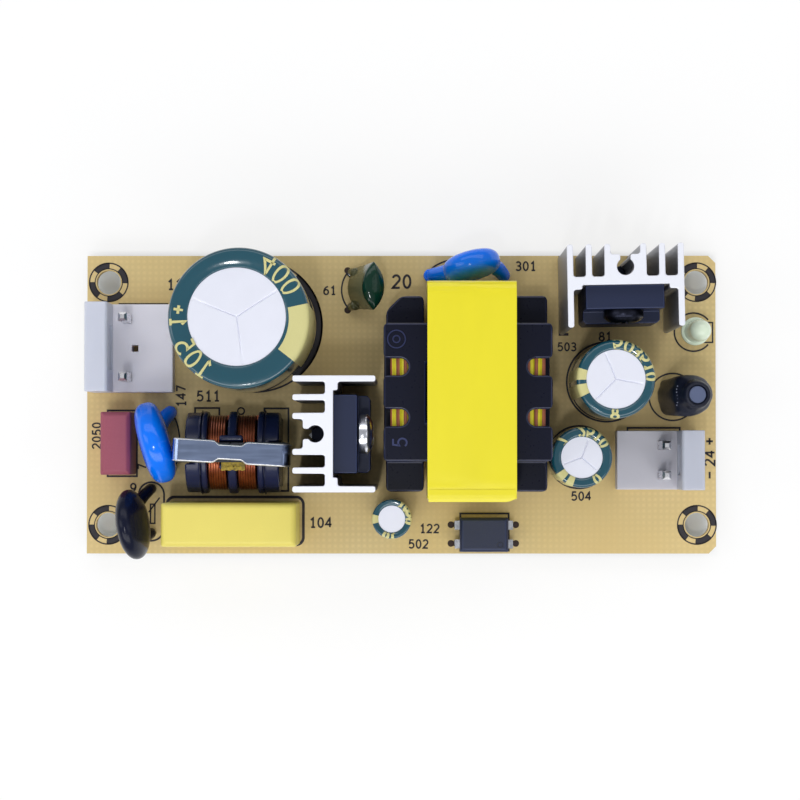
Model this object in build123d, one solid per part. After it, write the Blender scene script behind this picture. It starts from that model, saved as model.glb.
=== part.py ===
"""Open-frame power supply: a single-sided board with mains input at -X and low-voltage output at +X.

Millimetres. The origin is the centre of the four fixing holes on the board's underside,
+X runs to the output header, +Y across the board and +Z up through the parts.
Every lead starts face to face at its part and passes through its own drilled hole.
It ends flush with the underside, inside a cone of solder that the board stands on.
"""

from build123d import *
from dataclasses import dataclass
from math import cos, hypot, radians, sin, tan
import os

# Board and its four fixing holes
BOARD_LENGTH = 85.5
BOARD_WIDTH = 40.5
BOARD_THICKNESS = 1.6
BOARD_SHIFT_X = -0.15
BOARD_SHIFT_Y = -0.14
BOARD_CORNER = 1.0
FIXING_SPACING_X = 80.0
FIXING_SPACING_Y = 33.0
FIXING_HOLE_RADIUS = 1.65

# Leads, drilled holes and solder
HOLE_CLEARANCE = 0.1
SOLDER_HEIGHT = 1.8
SOLDER_LAND = 0.45
SOLDER_NECK = 0.05
FEW_SIDES = 6
HOLE_SIDES = 4
ROUND_SIDES = 32

# Headers: an upright wall with a seat in front of it and square pins through the seat
HEADER_PITCH = 3.96
HEADER_HEIGHT = 9.7
HEADER_WALL = 3.0
HEADER_WALL_EDGE = 0.3
HEADER_DEPTH = 11.1
HEADER_SEAT_HEIGHT = 3.3
HEADER_PIN_INSET = 5.0
HEADER_PIN_SIZE = 1.14
EMPTY_HOLE_INSET = 6.0
HEADER_NOTCH_DEPTH = 1.3
HEADER_NOTCH_HEIGHT = 3.2
HEADER_NOTCH_BASE = 3.6
INPUT_HEADER_X = -42.05
INPUT_HEADER_Y = 7.38
INPUT_POSITIONS = 3
INPUT_EMPTY_POSITION = 1
OUTPUT_HEADER_X = 40.0
OUTPUT_HEADER_Y = -7.7
OUTPUT_POSITIONS = 2
EMPTY_HOLE_SIZE = 0.9

# Box fuse
FUSE_X = -38.2
FUSE_Y = -5.45
FUSE_WIDTH = 4.0
FUSE_LENGTH = 8.4
FUSE_HEIGHT = 7.7
FUSE_EDGE = 0.5
FUSE_PITCH = 5.08
FUSE_WIRE = 0.6

# Dipped discs: coated legs rise from the board and the disc leans over them
COAT_GAP = 0.8
VARISTOR_X = -31.5
VARISTOR_Y = -5.0
VARISTOR_DIAMETER = 10.8
VARISTOR_THICKNESS = 4.1
VARISTOR_PITCH = 7.5
VARISTOR_CENTRE_HEIGHT = 7.9
VARISTOR_LEAN = 11.0
VARISTOR_SLIDE = 0.0
VARISTOR_ANGLE = 101.0
VARISTOR_WIRE = 0.8
THERMISTOR_X = -34.1
THERMISTOR_Y = -14.6
THERMISTOR_DIAMETER = 9.0
THERMISTOR_THICKNESS = 4.3
THERMISTOR_PITCH = 6.0
THERMISTOR_CENTRE_HEIGHT = 7.3
THERMISTOR_LEAN = 12.0
THERMISTOR_SLIDE = -1.7
THERMISTOR_ANGLE = 103.0
THERMISTOR_WIRE = 0.8
Y_CAPACITOR_X = 8.75
Y_CAPACITOR_Y = 17.5
Y_CAPACITOR_DIAMETER = 7.6
Y_CAPACITOR_THICKNESS = 3.8
Y_CAPACITOR_PITCH = 10.0
Y_CAPACITOR_CENTRE_HEIGHT = 6.6
Y_CAPACITOR_LEAN = 6.0
Y_CAPACITOR_SLIDE = 0.4
Y_CAPACITOR_ANGLE = 14.0
Y_CAPACITOR_WIRE = 0.6
DISC_RIM_RISE = 0.28
DISC_RIM_INSET = 0.5
COAT_WIDTH = 1.5

# Common mode choke: two U cores clipped end to end, the lower legs inside a round bobbin
CHOKE_X = -22.4
CHOKE_Y = -6.67
CHOKE_LENGTH = 12.4
CHOKE_AXIS_HEIGHT = 6.1
CHOKE_SIDES = 16
CHOKE_FLANGE_RADIUS = 5.45
CHOKE_MIDDLE_FLANGE = 1.2
CHOKE_END_FLANGE = 0.9
CHOKE_END_LENGTH = 2.0
CHOKE_END_STEP = 0.15
CHOKE_TUBE_WALL = 0.6
CHOKE_FOOT_WIDTH = 9.4
CHOKE_FOOT_HEIGHT = 3.0
CHOKE_SADDLE_LENGTH = 3.1
CHOKE_SADDLE_WIDTH = 4.5
CHOKE_SADDLE_DEPTH = 0.35
CHOKE_SADDLE_RISE = 1.2
CORE_LEG = 2.6
CORE_TOP_LEG = 2.3
CORE_BACK = 2.2
CORE_BACK_STANDOUT = 1.05
CORE_CLEARANCE = 0.1
CHOKE_COIL_RADIUS = 5.0
CHOKE_COIL_TURNS = 2
CHOKE_COIL_GROOVE = 0.15
CLIP_WIDTH = 3.0
CLIP_THICKNESS = 0.35
CLIP_HOOK = 8.5
CLIP_WAIST_LENGTH = 3.7
CLIP_WAIST_DEPTH = 0.45
CHOKE_PIN = 0.6
CHOKE_PIN_SPACING = 9.6
CHOKE_PIN_ROWS = 6.94

# Boxed film capacitor
X_CAPACITOR_X = -22.8
X_CAPACITOR_Y = -16.2
X_CAPACITOR_LENGTH = 17.8
X_CAPACITOR_WIDTH = 5.8
X_CAPACITOR_HEIGHT = 12.0
X_CAPACITOR_EDGE = 0.5
X_CAPACITOR_PITCH = 15.0
X_CAPACITOR_WIRE = 0.8
X_CAPACITOR_FOOT = 0.4

# Electrolytic capacitors
SLEEVE_WALL = 0.15
MAIN_DIAMETER = 18.2
MAIN_HEIGHT = 20.0
MAIN_DISC = 12.6
MAIN_X = -20.95
MAIN_Y = 10.55
MAIN_LEAD_SHIFT = 0.86
MAIN_PITCH = 7.5
MAIN_WIRE = 0.8
MAIN_ANGLE = 0.0
OUTPUT_DIAMETER = 10.2
OUTPUT_HEIGHT = 17.0
OUTPUT_DISC = 7.6
OUTPUT_X = 27.7
OUTPUT_Y = 2.8
OUTPUT_PITCH = 5.0
OUTPUT_WIRE = 0.6
OUTPUT_ANGLE = 185.0
SECOND_DIAMETER = 8.0
SECOND_HEIGHT = 12.0
SECOND_DISC = 5.4
SECOND_RAIL_GAP = 0.25
SECOND_Y = -7.34
SECOND_PITCH = 3.5
SECOND_WIRE = 0.6
SECOND_ANGLE = 232.0
SUPPLY_DIAMETER = 5.2
SUPPLY_HEIGHT = 11.0
SUPPLY_DISC = 3.5
SUPPLY_X = -1.36
SUPPLY_Y = -15.44
SUPPLY_PITCH = 2.2
SUPPLY_WIRE = 0.5
SUPPLY_ANGLE = 180.0

# Dipped film capacitor, leaning to +X
FILM_X = -7.1
FILM_Y = 15.4
FILM_THICKNESS = 3.0
FILM_WIDTH = 6.2
FILM_HEIGHT = 7.0
FILM_BASE = 1.9
FILM_LEAN = 27.0
FILM_PITCH = 4.4
FILM_WIRE = 0.6
FILM_EDGE = 0.9

# Extruded heatsinks: fins behind the seat, two legs beside the package
SINK_WIDTH = 15.0
SINK_HEIGHT = 20.0
SINK_WEB = 1.06
SINK_RECESS = 0.57
SINK_RECESS_WIDTH = 11.2
SINK_FIN_REACH = 5.25
SINK_FIN = 0.8
SINK_FIN_PITCH = 2.4
SINK_CENTRE_PITCH = 4.6
SINK_LEG_REACH = 5.42
SINK_BOSS_REACH = 3.9
SINK_CHANNEL_RADIUS = 1.1
SINK_CHANNEL_DEPTH = 2.3
SINK_SLOT = 1.3
SINK_PIN_LENGTH = 7.0
SWITCH_SEAT_X = -8.78
SWITCH_SEAT_Y = -4.3
SWITCH_SINK_ANGLE = -90.0
RECTIFIER_SEAT_X = 28.73
RECTIFIER_SEAT_Y = 14.85
RECTIFIER_SINK_ANGLE = 181.0

# Moulded three-lead packages and their screws
PACKAGE_WIDTH = 10.1
PACKAGE_THICKNESS = 4.6
PACKAGE_HEIGHT = 15.6
PACKAGE_BASE = 2.9
PACKAGE_TAB_THICKNESS = 3.0
PACKAGE_TAB_HEIGHT = 6.4
PACKAGE_HOLE_RADIUS = 1.6
PACKAGE_HOLE_DROP = 3.2
PACKAGE_EDGE = 0.4
PACKAGE_LEAD_PITCH = 2.54
PACKAGE_LEAD_PLANE = 2.5
PACKAGE_LEAD_WIDTH = 0.8
PACKAGE_LEAD_THICKNESS = 0.5
PACKAGE_SHOULDER_WIDTH = 1.2
PACKAGE_SHOULDER_HEIGHT = 1.6
SCREW_RADIUS = 1.25
SCREW_LENGTH = 5.2
SCREW_HEAD_RADIUS = 2.6
SCREW_HEAD_HEIGHT = 1.8
SCREW_HEAD_EDGE = 0.6

# Transformer: two E cores, one on the other, on a bobbin with pin rails
TRANSFORMER_X = 8.6
TRANSFORMER_Y = 1.15
CORE_LENGTH = 27.2
CORE_DEPTH = 10.6
CORE_HALF_HEIGHT = 8.4
CORE_YOKE = 4.0
CORE_OUTER_LEG = 3.6
CORE_CENTRE_LEG = 7.6
CORE_BASE_HEIGHT = 2.9
CORE_EDGE = 0.4
TAPE_THICKNESS = 0.3
TAPE_WIDTH = 11.3
BOBBIN_FLANGE_LENGTH = 22.0
BOBBIN_FLANGE_WIDTH = 18.0
BOBBIN_FLANGE = 1.2
BOBBIN_TUBE_WALL = 0.8
BOBBIN_CORE_GAP = 0.15
BOBBIN_NOTCH_DEPTH = 3.25
BOBBIN_NOTCH_WIDTH = 2.2
BOBBIN_NOTCH_OFFSET = 3.3
RAIL_LENGTH = 26.1
RAIL_SPAN = 21.5
RAIL_TAPE_GAP = 0.05
RAIL_CHAMFER = 2.0
COIL_INSET = 0.9
WRAP_THICKNESS = 0.3
TRANSFORMER_PIN = 0.8
TRANSFORMER_PIN_PITCH = 5.0
TRANSFORMER_PIN_INSET = 1.7
TRANSFORMER_PINS = 5

# Indicator light
LED_X = 39.6
LED_Y = 9.7
LED_RADIUS = 1.5
LED_FLANGE_RADIUS = 1.9
LED_FLANGE = 1.0
LED_HEIGHT = 5.0
LED_CROWN = 0.5
LED_STANDOFF = 1.6
LED_PITCH = 2.54
LED_LEAD = 0.5

# Rod-core output inductor in heat-shrink tube, leaning to +X
INDUCTOR_X = 36.9
INDUCTOR_Y = 0.88
INDUCTOR_CORE_RADIUS = 1.9
INDUCTOR_COIL_BUILD = 0.9
INDUCTOR_SLEEVE_WALL = 0.3
INDUCTOR_HEIGHT = 13.2
INDUCTOR_COIL_END = 1.2
INDUCTOR_MOUTH_RADIUS = 1.15
INDUCTOR_STANDOFF = 0.7
INDUCTOR_LEAN = 7.0
INDUCTOR_PITCH = 4.0
INDUCTOR_WIRE = 0.7

# Optocoupler
COUPLER_X = 11.0
COUPLER_Y = -17.75
COUPLER_LENGTH = 6.5
COUPLER_WIDTH = 4.58
COUPLER_HEIGHT = 3.5
COUPLER_STANDOFF = 0.5
COUPLER_ROW_SPACING = 7.62
COUPLER_PITCH = 2.54
COUPLER_BLADE_WIDTH = 0.5
COUPLER_BLADE_THICKNESS = 0.25
COUPLER_SHOULDER_WIDTH = 1.2
COUPLER_EDGE = 0.35

# Underside surface-mounted parts
PAD_THICKNESS = 0.05
BRIDGE_X = -9.0
BRIDGE_Y = 7.5
BRIDGE_LENGTH = 5.0
BRIDGE_WIDTH = 4.4
BRIDGE_THICKNESS = 1.3
CHIP_X = -7.0
CHIP_Y = -12.4
CHIP_LENGTH = 4.9
CHIP_WIDTH = 3.9
CHIP_THICKNESS = 1.4
CHIP_LEAD_PITCH = 1.27
CHIP_LEAD_SPAN = 6.0
CHIP_LEAD_WIDTH = 0.4
CHIP_LEAD_THICKNESS = 0.25
CHIP_FOOT = 1.0
BRIDGE_LEAD_PITCH = 2.54
BRIDGE_LEAD_SPAN = 6.4
BRIDGE_LEAD_WIDTH = 0.7
SMALL_PART_LENGTH = 2.0
SMALL_PART_WIDTH = 1.25
SMALL_PART_THICKNESS = 0.5
SMALL_PART_PLACES = (
    (-14.5, -14.5, 0), (-6.0, -18.0, 90), (3.5, -16.5, 0), (16.8, -14.8, 90),
    (19.2, -18.2, 0), (32.6, -14.6, 90), (14.4, 10.6, 0), (21.4, 4.6, 90),
)

STAND = (Align.CENTER, Align.CENTER, Align.MIN)
HANG = (Align.CENTER, Align.CENTER, Align.MAX)


@dataclass
class Lead:
    """A lead through the board: its place, the half width of its section and its solid."""

    x: float
    y: float
    reach: float
    solid: Part


def block(x, y, base, length, width, height):
    """A rectangular block standing on the height base, centred on x and y."""
    return Pos(x, y, base) * Box(length, width, height, align=STAND)


def post(x, y, base, radius, height):
    """A round post standing on the height base."""
    return Pos(x, y, base) * Cylinder(radius, height, align=STAND)


def top_edges(solid):
    """The edges around the highest face of a solid."""
    return solid.faces().sort_by(Axis.Z)[-1].edges()


def wire(x, y, top, diameter):
    """A wire from the board's underside to the height top, drawn with few sides."""
    solid = Pos(x, y) * extrude(RegularPolygon(diameter / 2, FEW_SIDES), top)
    return Lead(x, y, diameter / 2, solid)


def blade(x, y, top, length, width):
    """A flat or square lead from the board's underside to the height top."""
    return Lead(x, y, hypot(length, width) / 2, block(x, y, 0, length, width, top))


def placed(lead, place):
    """The same lead moved by a location that turns about Z only."""
    centre = (place * Pos(lead.x, lead.y, 0)).position
    return Lead(centre.X, centre.Y, lead.reach, place * lead.solid)


def pair(x, y, pitch, angle):
    """Two places a pitch apart along a direction in plan."""
    half_x = pitch / 2 * cos(radians(angle))
    half_y = pitch / 2 * sin(radians(angle))
    return [(x - half_x, y - half_y), (x + half_x, y + half_y)]


def turned(points):
    """A solid of revolution about Z from points of radius and height."""
    profile = make_face(Polyline([(r, 0, z) for r, z in points], close=True))
    return revolve(profile, Axis.Z)


def faceted(points, sides):
    """A flat-sided round solid about Z, from points of radius and height that run upwards."""
    rings = []
    for radius, z in points:
        turns = [radians(index * 360 / sides) for index in range(sides)]
        rings.append([Vector(radius * cos(turn), radius * sin(turn), z) for turn in turns])
    corners = [rings[0][::-1], rings[-1]]
    for lower, upper in zip(rings, rings[1:]):
        for index in range(sides):
            following = (index + 1) % sides
            corners.append([lower[index], lower[following], upper[following], upper[index]])
    return Solid(Shell([Face(Wire.make_polygon(points)) for points in corners]))


def circuit_board(leads):
    """The board with its clipped output corners, fixing holes and a drilled hole at each lead."""
    outline = Pos(BOARD_SHIFT_X, BOARD_SHIFT_Y) * Rectangle(BOARD_LENGTH, BOARD_WIDTH)
    outline = chamfer(outline.vertices().sort_by(Axis.X)[-2:], BOARD_CORNER)
    for place in GridLocations(FIXING_SPACING_X, FIXING_SPACING_Y, 2, 2):
        outline -= place * Circle(FIXING_HOLE_RADIUS)
    holes = [
        Pos(lead.x, lead.y)
        * RegularPolygon(lead.reach + HOLE_CLEARANCE, HOLE_SIDES, major_radius=False)
        for lead in leads
    ]
    return extrude(outline - holes, BOARD_THICKNESS)


def solder_fillets(leads):
    """A cone of solder under each lead's end, all of one height."""
    return [
        Pos(lead.x, lead.y)
        * faceted([(lead.reach + SOLDER_NECK, -SOLDER_HEIGHT), (lead.reach + SOLDER_LAND, 0)], FEW_SIDES)
        for lead in leads
    ]


def header_housing(positions, empty_position):
    """A header from its wall's outer face at x=0, with its seat towards +X."""
    width = positions * HEADER_PITCH
    body = block(HEADER_DEPTH / 2, 0, 0, HEADER_DEPTH, width, HEADER_SEAT_HEIGHT)
    wall = block(HEADER_WALL / 2, 0, 0, HEADER_WALL, width, HEADER_HEIGHT)
    wall = chamfer(top_edges(wall).sort_by(Axis.X)[-1], HEADER_WALL_EDGE)
    body += wall
    notch = block(
        HEADER_WALL - HEADER_NOTCH_DEPTH / 2,
        0,
        HEADER_NOTCH_BASE,
        HEADER_NOTCH_DEPTH,
        width / 2,
        HEADER_NOTCH_HEIGHT,
    )
    body -= notch
    for index in range(positions):
        empty = index == empty_position
        size = EMPTY_HOLE_SIZE if empty else HEADER_PIN_SIZE
        inset = EMPTY_HOLE_INSET if empty else HEADER_PIN_INSET
        y = (index - (positions - 1) / 2) * HEADER_PITCH
        body -= block(inset, y, 0, size, size, HEADER_SEAT_HEIGHT)
    return body


def header_pins(positions, empty_position):
    """The square pins of a header, in the header's own place."""
    pins = []
    for index in range(positions):
        if index != empty_position:
            y = (index - (positions - 1) / 2) * HEADER_PITCH
            top = BOARD_THICKNESS + HEADER_HEIGHT
            pins.append(blade(HEADER_PIN_INSET, y, top, HEADER_PIN_SIZE, HEADER_PIN_SIZE))
    return pins


def fuse():
    """A box fuse with softened top edges."""
    body = block(FUSE_X, FUSE_Y, BOARD_THICKNESS, FUSE_WIDTH, FUSE_LENGTH, FUSE_HEIGHT)
    body = chamfer(top_edges(body), FUSE_EDGE)
    places = pair(FUSE_X, FUSE_Y, FUSE_PITCH, 90)
    return body, [wire(x, y, BOARD_THICKNESS, FUSE_WIRE) for x, y in places]


def slanted_leg(foot, top):
    """A coated leg from its level foot to a level top, both of one section."""
    section = Pos(foot.X, foot.Y, foot.Z) * RegularPolygon(COAT_WIDTH / 2, FEW_SIDES)
    run = top - foot
    return extrude(section, run.length, dir=run)


def dipped_disc(x, y, diameter, thickness, pitch, height, lean, slide, turn, wire_diameter):
    """A dipped disc on two coated legs.

    Its faces stand along the direction turn in plan. It leans by lean degrees across its faces,
    and its centre slides along them, over legs whose feet stay at the lead holes.
    """
    places = pair(x, y, pitch, 90 if turn > 45 else 0)
    rim = [
        (diameter / 2 - thickness * DISC_RIM_INSET, thickness / 2),
        (diameter / 2, thickness * (0.5 - DISC_RIM_RISE)),
    ]
    disc = faceted([(r, -z) for r, z in rim] + rim[::-1], ROUND_SIDES)
    shift = height * tan(radians(lean))
    place = Pos(x, y, BOARD_THICKNESS + height) * Rot(0, 0, turn) * Pos(slide, shift, 0)
    body = place * (Rot(90 - lean, 0, 0) * disc)
    knee = BOARD_THICKNESS + height - diameter * 0.3
    for side, (foot_x, foot_y) in zip((-1, 1), places):
        knee_shift = (knee - BOARD_THICKNESS) * tan(radians(lean))
        entry = Rot(0, 0, turn) * Pos(slide + side * diameter * 0.3, knee_shift, 0)
        foot = Vector(foot_x, foot_y, BOARD_THICKNESS + COAT_GAP)
        body += slanted_leg(foot, Vector(x + entry.position.X, y + entry.position.Y, knee))
    leads = [wire(px, py, BOARD_THICKNESS + COAT_GAP, wire_diameter) for px, py in places]
    return body, leads


def drum(x, length, radius):
    """A flat-sided drum about the choke's lower leg, with its middle at x."""
    outline = RegularPolygon(radius, CHOKE_SIDES, major_radius=False, rotation=180 / CHOKE_SIDES)
    start = Pos(x - length / 2, 0, BOARD_THICKNESS + CHOKE_AXIS_HEIGHT)
    return extrude(start * (Plane.YZ * outline), length)


def choke_bobbin(axis, bore, tube, leg_base, back_x):
    """Round flanges on a square tube, with slotted, footed ends and a saddle under the top legs."""
    half = CHOKE_LENGTH / 2
    end_x = half - CHOKE_END_LENGTH / 2
    flange_x = half - CHOKE_END_LENGTH - CHOKE_END_FLANGE / 2
    bobbin = Pos(0, 0, axis) * Box(CHOKE_LENGTH, tube, tube)
    bobbin += drum(0, CHOKE_MIDDLE_FLANGE, CHOKE_FLANGE_RADIUS)
    bobbin += block(
        0,
        0,
        leg_base - CHOKE_SADDLE_DEPTH,
        CHOKE_SADDLE_LENGTH,
        CHOKE_SADDLE_WIDTH,
        CHOKE_SADDLE_DEPTH + CHOKE_SADDLE_RISE,
    )
    for side in (-1, 1):
        bobbin += drum(side * flange_x, CHOKE_END_FLANGE, CHOKE_FLANGE_RADIUS)
        bobbin += drum(side * end_x, CHOKE_END_LENGTH, CHOKE_FLANGE_RADIUS - CHOKE_END_STEP)
        bobbin += block(
            side * end_x, 0, BOARD_THICKNESS, CHOKE_END_LENGTH, CHOKE_FOOT_WIDTH, CHOKE_FOOT_HEIGHT
        )
    bobbin -= Pos(0, 0, axis) * Box(2 * CHOKE_LENGTH, bore, bore)
    bobbin -= block(0, 0, leg_base - CORE_CLEARANCE, CHOKE_LENGTH, bore, CORE_TOP_LEG)
    for side in (-1, 1):
        slot_start = back_x - CORE_CLEARANCE
        slot_x = side * (slot_start + CHOKE_LENGTH / 2)
        bobbin -= block(slot_x, 0, axis, CHOKE_LENGTH, bore, CHOKE_FLANGE_RADIUS)
    return bobbin


def choke_clip(reach, top):
    """A waisted spring strip over the cores, bent down at both ends."""
    clip = block(0, 0, top, 2 * (reach + CLIP_THICKNESS), CLIP_WIDTH, CLIP_THICKNESS)
    for side in (-1, 1):
        hook_x = side * (reach + CLIP_THICKNESS / 2)
        clip += block(hook_x, 0, top - CLIP_HOOK, CLIP_THICKNESS, CLIP_WIDTH, CLIP_HOOK)
        waist = Pos(0, side * CLIP_WIDTH / 2, top) * Box(
            CLIP_WAIST_LENGTH, 2 * CLIP_WAIST_DEPTH, 4 * CLIP_THICKNESS
        )
        clip -= chamfer(waist.edges().filter_by(Axis.Z), CLIP_WAIST_DEPTH * 0.8)
    return clip


def choke():
    """The common mode choke: bobbin, two U cores, two coils, clip and pins."""
    axis = BOARD_THICKNESS + CHOKE_AXIS_HEIGHT
    bore = CORE_LEG + 2 * CORE_CLEARANCE
    tube = bore + 2 * CHOKE_TUBE_WALL
    leg_base = axis + CHOKE_FLANGE_RADIUS + CORE_CLEARANCE
    reach = CHOKE_LENGTH / 2 + CORE_BACK_STANDOUT
    back_x = reach - CORE_BACK
    bobbin = choke_bobbin(axis, bore, tube, leg_base, back_x)

    cores = []
    core_base = axis - CORE_LEG / 2
    window_base = core_base + CORE_LEG
    for side in (-1, 1):
        core = block(side * reach / 2, 0, core_base, reach, CORE_LEG, leg_base + CORE_TOP_LEG - core_base)
        core -= block(side * back_x / 2, 0, window_base, back_x, CORE_LEG, leg_base - window_base)
        cores.append(core)

    coils = []
    coil_start = CHOKE_MIDDLE_FLANGE / 2
    coil_length = CHOKE_LENGTH / 2 - CHOKE_END_LENGTH - CHOKE_END_FLANGE - coil_start
    turn = coil_length / CHOKE_COIL_TURNS
    for side in (-1, 1):
        coil = drum(side * (coil_start + coil_length / 2), coil_length, CHOKE_COIL_RADIUS - CHOKE_COIL_GROOVE)
        for index in range(CHOKE_COIL_TURNS):
            coil += drum(side * (coil_start + (index + 0.5) * turn), turn / 2, CHOKE_COIL_RADIUS)
        coils.append(coil - Pos(0, 0, axis) * Box(CHOKE_LENGTH, tube, tube))

    clip = choke_clip(reach, leg_base + CORE_TOP_LEG)
    place = Pos(CHOKE_X, CHOKE_Y, 0)
    pins = [
        blade(CHOKE_X + px, CHOKE_Y + py, BOARD_THICKNESS, CHOKE_PIN, CHOKE_PIN)
        for px in (-CHOKE_PIN_SPACING / 2, CHOKE_PIN_SPACING / 2)
        for py in (-CHOKE_PIN_ROWS / 2, CHOKE_PIN_ROWS / 2)
    ]
    return (
        place * bobbin,
        [place * core for core in cores],
        [place * coil for coil in coils],
        place * clip,
        pins,
    )


def x_capacitor():
    """A boxed capacitor on four small feet."""
    base = BOARD_THICKNESS + X_CAPACITOR_FOOT
    height = X_CAPACITOR_HEIGHT - X_CAPACITOR_FOOT
    body = block(X_CAPACITOR_X, X_CAPACITOR_Y, base, X_CAPACITOR_LENGTH, X_CAPACITOR_WIDTH, height)
    body = chamfer(top_edges(body), X_CAPACITOR_EDGE)
    foot = 3 * X_CAPACITOR_FOOT
    for place in GridLocations(X_CAPACITOR_LENGTH - foot, X_CAPACITOR_WIDTH - foot, 2, 2):
        x, y = place.position.X, place.position.Y
        body += block(
            X_CAPACITOR_X + x, X_CAPACITOR_Y + y, BOARD_THICKNESS, foot, foot, X_CAPACITOR_FOOT
        )
    places = pair(X_CAPACITOR_X, X_CAPACITOR_Y, X_CAPACITOR_PITCH, 0)
    return body, [wire(x, y, base, X_CAPACITOR_WIRE) for x, y in places]


def electrolytic(x, y, diameter, height, disc, pitch, wire_diameter, angle, shift):
    """An aluminium can, its shrunk sleeve drawn in over the rim, and its two leads."""
    radius = diameter / 2 - SLEEVE_WALL
    rim = height - SLEEVE_WALL
    place = Pos(x, y, BOARD_THICKNESS)
    can = post(x, y, BOARD_THICKNESS, radius, rim)
    sleeve = turned([
        (radius, 0),
        (diameter / 2, 0),
        (diameter / 2, height),
        (disc / 2, height),
        (disc / 2, rim),
        (radius, rim),
    ])
    places = pair(x + shift, y, pitch, angle)
    leads = [wire(px, py, BOARD_THICKNESS, wire_diameter) for px, py in places]
    return can, place * sleeve, leads


def film_capacitor():
    """A dipped block leaning over its two coated legs."""
    lean = radians(FILM_LEAN)
    body = Box(FILM_THICKNESS, FILM_WIDTH, FILM_HEIGHT, align=STAND)
    body = chamfer(body.edges().filter_by(Axis.Z), FILM_EDGE)
    body = chamfer(top_edges(body), FILM_EDGE / 2)
    base = BOARD_THICKNESS + FILM_BASE
    body = Pos(FILM_X + FILM_BASE * tan(lean), FILM_Y, base) * Rot(0, FILM_LEAN, 0) * body
    places = pair(FILM_X, FILM_Y, FILM_PITCH, 90)
    rise = FILM_THICKNESS / 2
    for x, y in places:
        foot = Vector(x, y, BOARD_THICKNESS + COAT_GAP / 2)
        body += slanted_leg(foot, Vector(x + (FILM_BASE + rise) * tan(lean), y, base + rise))
    leads = [wire(x, y, BOARD_THICKNESS + COAT_GAP / 2, FILM_WIRE) for x, y in places]
    return body, leads


def fin_offsets():
    """The places of the six fins across a heatsink, from its middle."""
    half = SINK_CENTRE_PITCH / 2
    right = [half + index * SINK_FIN_PITCH for index in range(3)]
    return [-x for x in reversed(right)] + right


def heatsink():
    """An extruded heatsink with its seat on y=0, fins towards -Y and legs towards +Y."""
    root = -SINK_WEB
    profile = Pos(0, root / 2) * Rectangle(SINK_WIDTH, SINK_WEB)
    side = (SINK_WIDTH - SINK_RECESS_WIDTH) / 2
    for sign in (-1, 1):
        edge = sign * (SINK_WIDTH - side) / 2
        profile += Pos(edge, SINK_RECESS / 2) * Rectangle(side, SINK_RECESS)
        leg_x = sign * (SINK_WIDTH - SINK_FIN) / 2
        profile += Pos(leg_x, SINK_LEG_REACH / 2) * Rectangle(SINK_FIN, SINK_LEG_REACH)
    outer = fin_offsets()[-1]
    for x in fin_offsets():
        place = x * (SINK_WIDTH - SINK_FIN) / 2 / outer
        profile += Pos(place, -SINK_FIN_REACH / 2) * Rectangle(SINK_FIN, SINK_FIN_REACH)
    boss_width = 2 * SINK_CHANNEL_RADIUS + 2 * SINK_FIN
    profile += Pos(0, -SINK_BOSS_REACH / 2) * Rectangle(boss_width, SINK_BOSS_REACH)
    profile -= Pos(0, -SINK_CHANNEL_DEPTH) * Circle(SINK_CHANNEL_RADIUS)
    slot_length = SINK_BOSS_REACH - SINK_CHANNEL_DEPTH + SINK_CHANNEL_RADIUS
    slot_y = -SINK_CHANNEL_DEPTH - slot_length / 2
    profile -= Pos(0, slot_y) * Rectangle(SINK_SLOT, slot_length)
    solid = extrude(profile, SINK_HEIGHT)
    return solid - screw_bore(SCREW_RADIUS, SINK_CHANNEL_DEPTH, 0)


def screw_height():
    """The screw's height above the board's top face."""
    return PACKAGE_BASE + PACKAGE_HEIGHT - PACKAGE_HOLE_DROP


def screw_bore(radius, depth, front):
    """A bore along Y at the screw's height, from y=-depth to y=front."""
    bore = extrude(RegularPolygon(radius, FEW_SIDES, major_radius=False), depth + front)
    return Pos(0, -depth, screw_height()) * Rot(-90, 0, 0) * bore


def package():
    """A moulded package with its back on y=0 and its thinner tab above."""
    body = block(0, PACKAGE_THICKNESS / 2, PACKAGE_BASE, PACKAGE_WIDTH, PACKAGE_THICKNESS, PACKAGE_HEIGHT)
    step = PACKAGE_THICKNESS - PACKAGE_TAB_THICKNESS
    cut_base = PACKAGE_BASE + PACKAGE_HEIGHT - PACKAGE_TAB_HEIGHT
    cut = block(
        0, PACKAGE_THICKNESS - step / 2, cut_base, PACKAGE_WIDTH, step, PACKAGE_TAB_HEIGHT
    )
    body -= cut
    front = body.edges().filter_by(Axis.Z).sort_by(Axis.Y)[-2:]
    body = chamfer(front, PACKAGE_EDGE)
    body -= screw_bore(PACKAGE_HOLE_RADIUS, 0, PACKAGE_TAB_THICKNESS)
    return body


def package_leads():
    """Three flat leads with wider shoulders under the package."""
    leads = []
    for index in (-1, 0, 1):
        x = index * PACKAGE_LEAD_PITCH
        lead = blade(
            x, PACKAGE_LEAD_PLANE, PACKAGE_BASE + BOARD_THICKNESS, PACKAGE_LEAD_WIDTH, PACKAGE_LEAD_THICKNESS
        )
        shoulder = block(
            x,
            PACKAGE_LEAD_PLANE,
            BOARD_THICKNESS + PACKAGE_BASE - PACKAGE_SHOULDER_HEIGHT,
            PACKAGE_SHOULDER_WIDTH,
            PACKAGE_LEAD_THICKNESS,
            PACKAGE_SHOULDER_HEIGHT,
        )
        lead.solid = lead.solid + shoulder
        leads.append(lead)
    return leads


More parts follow.
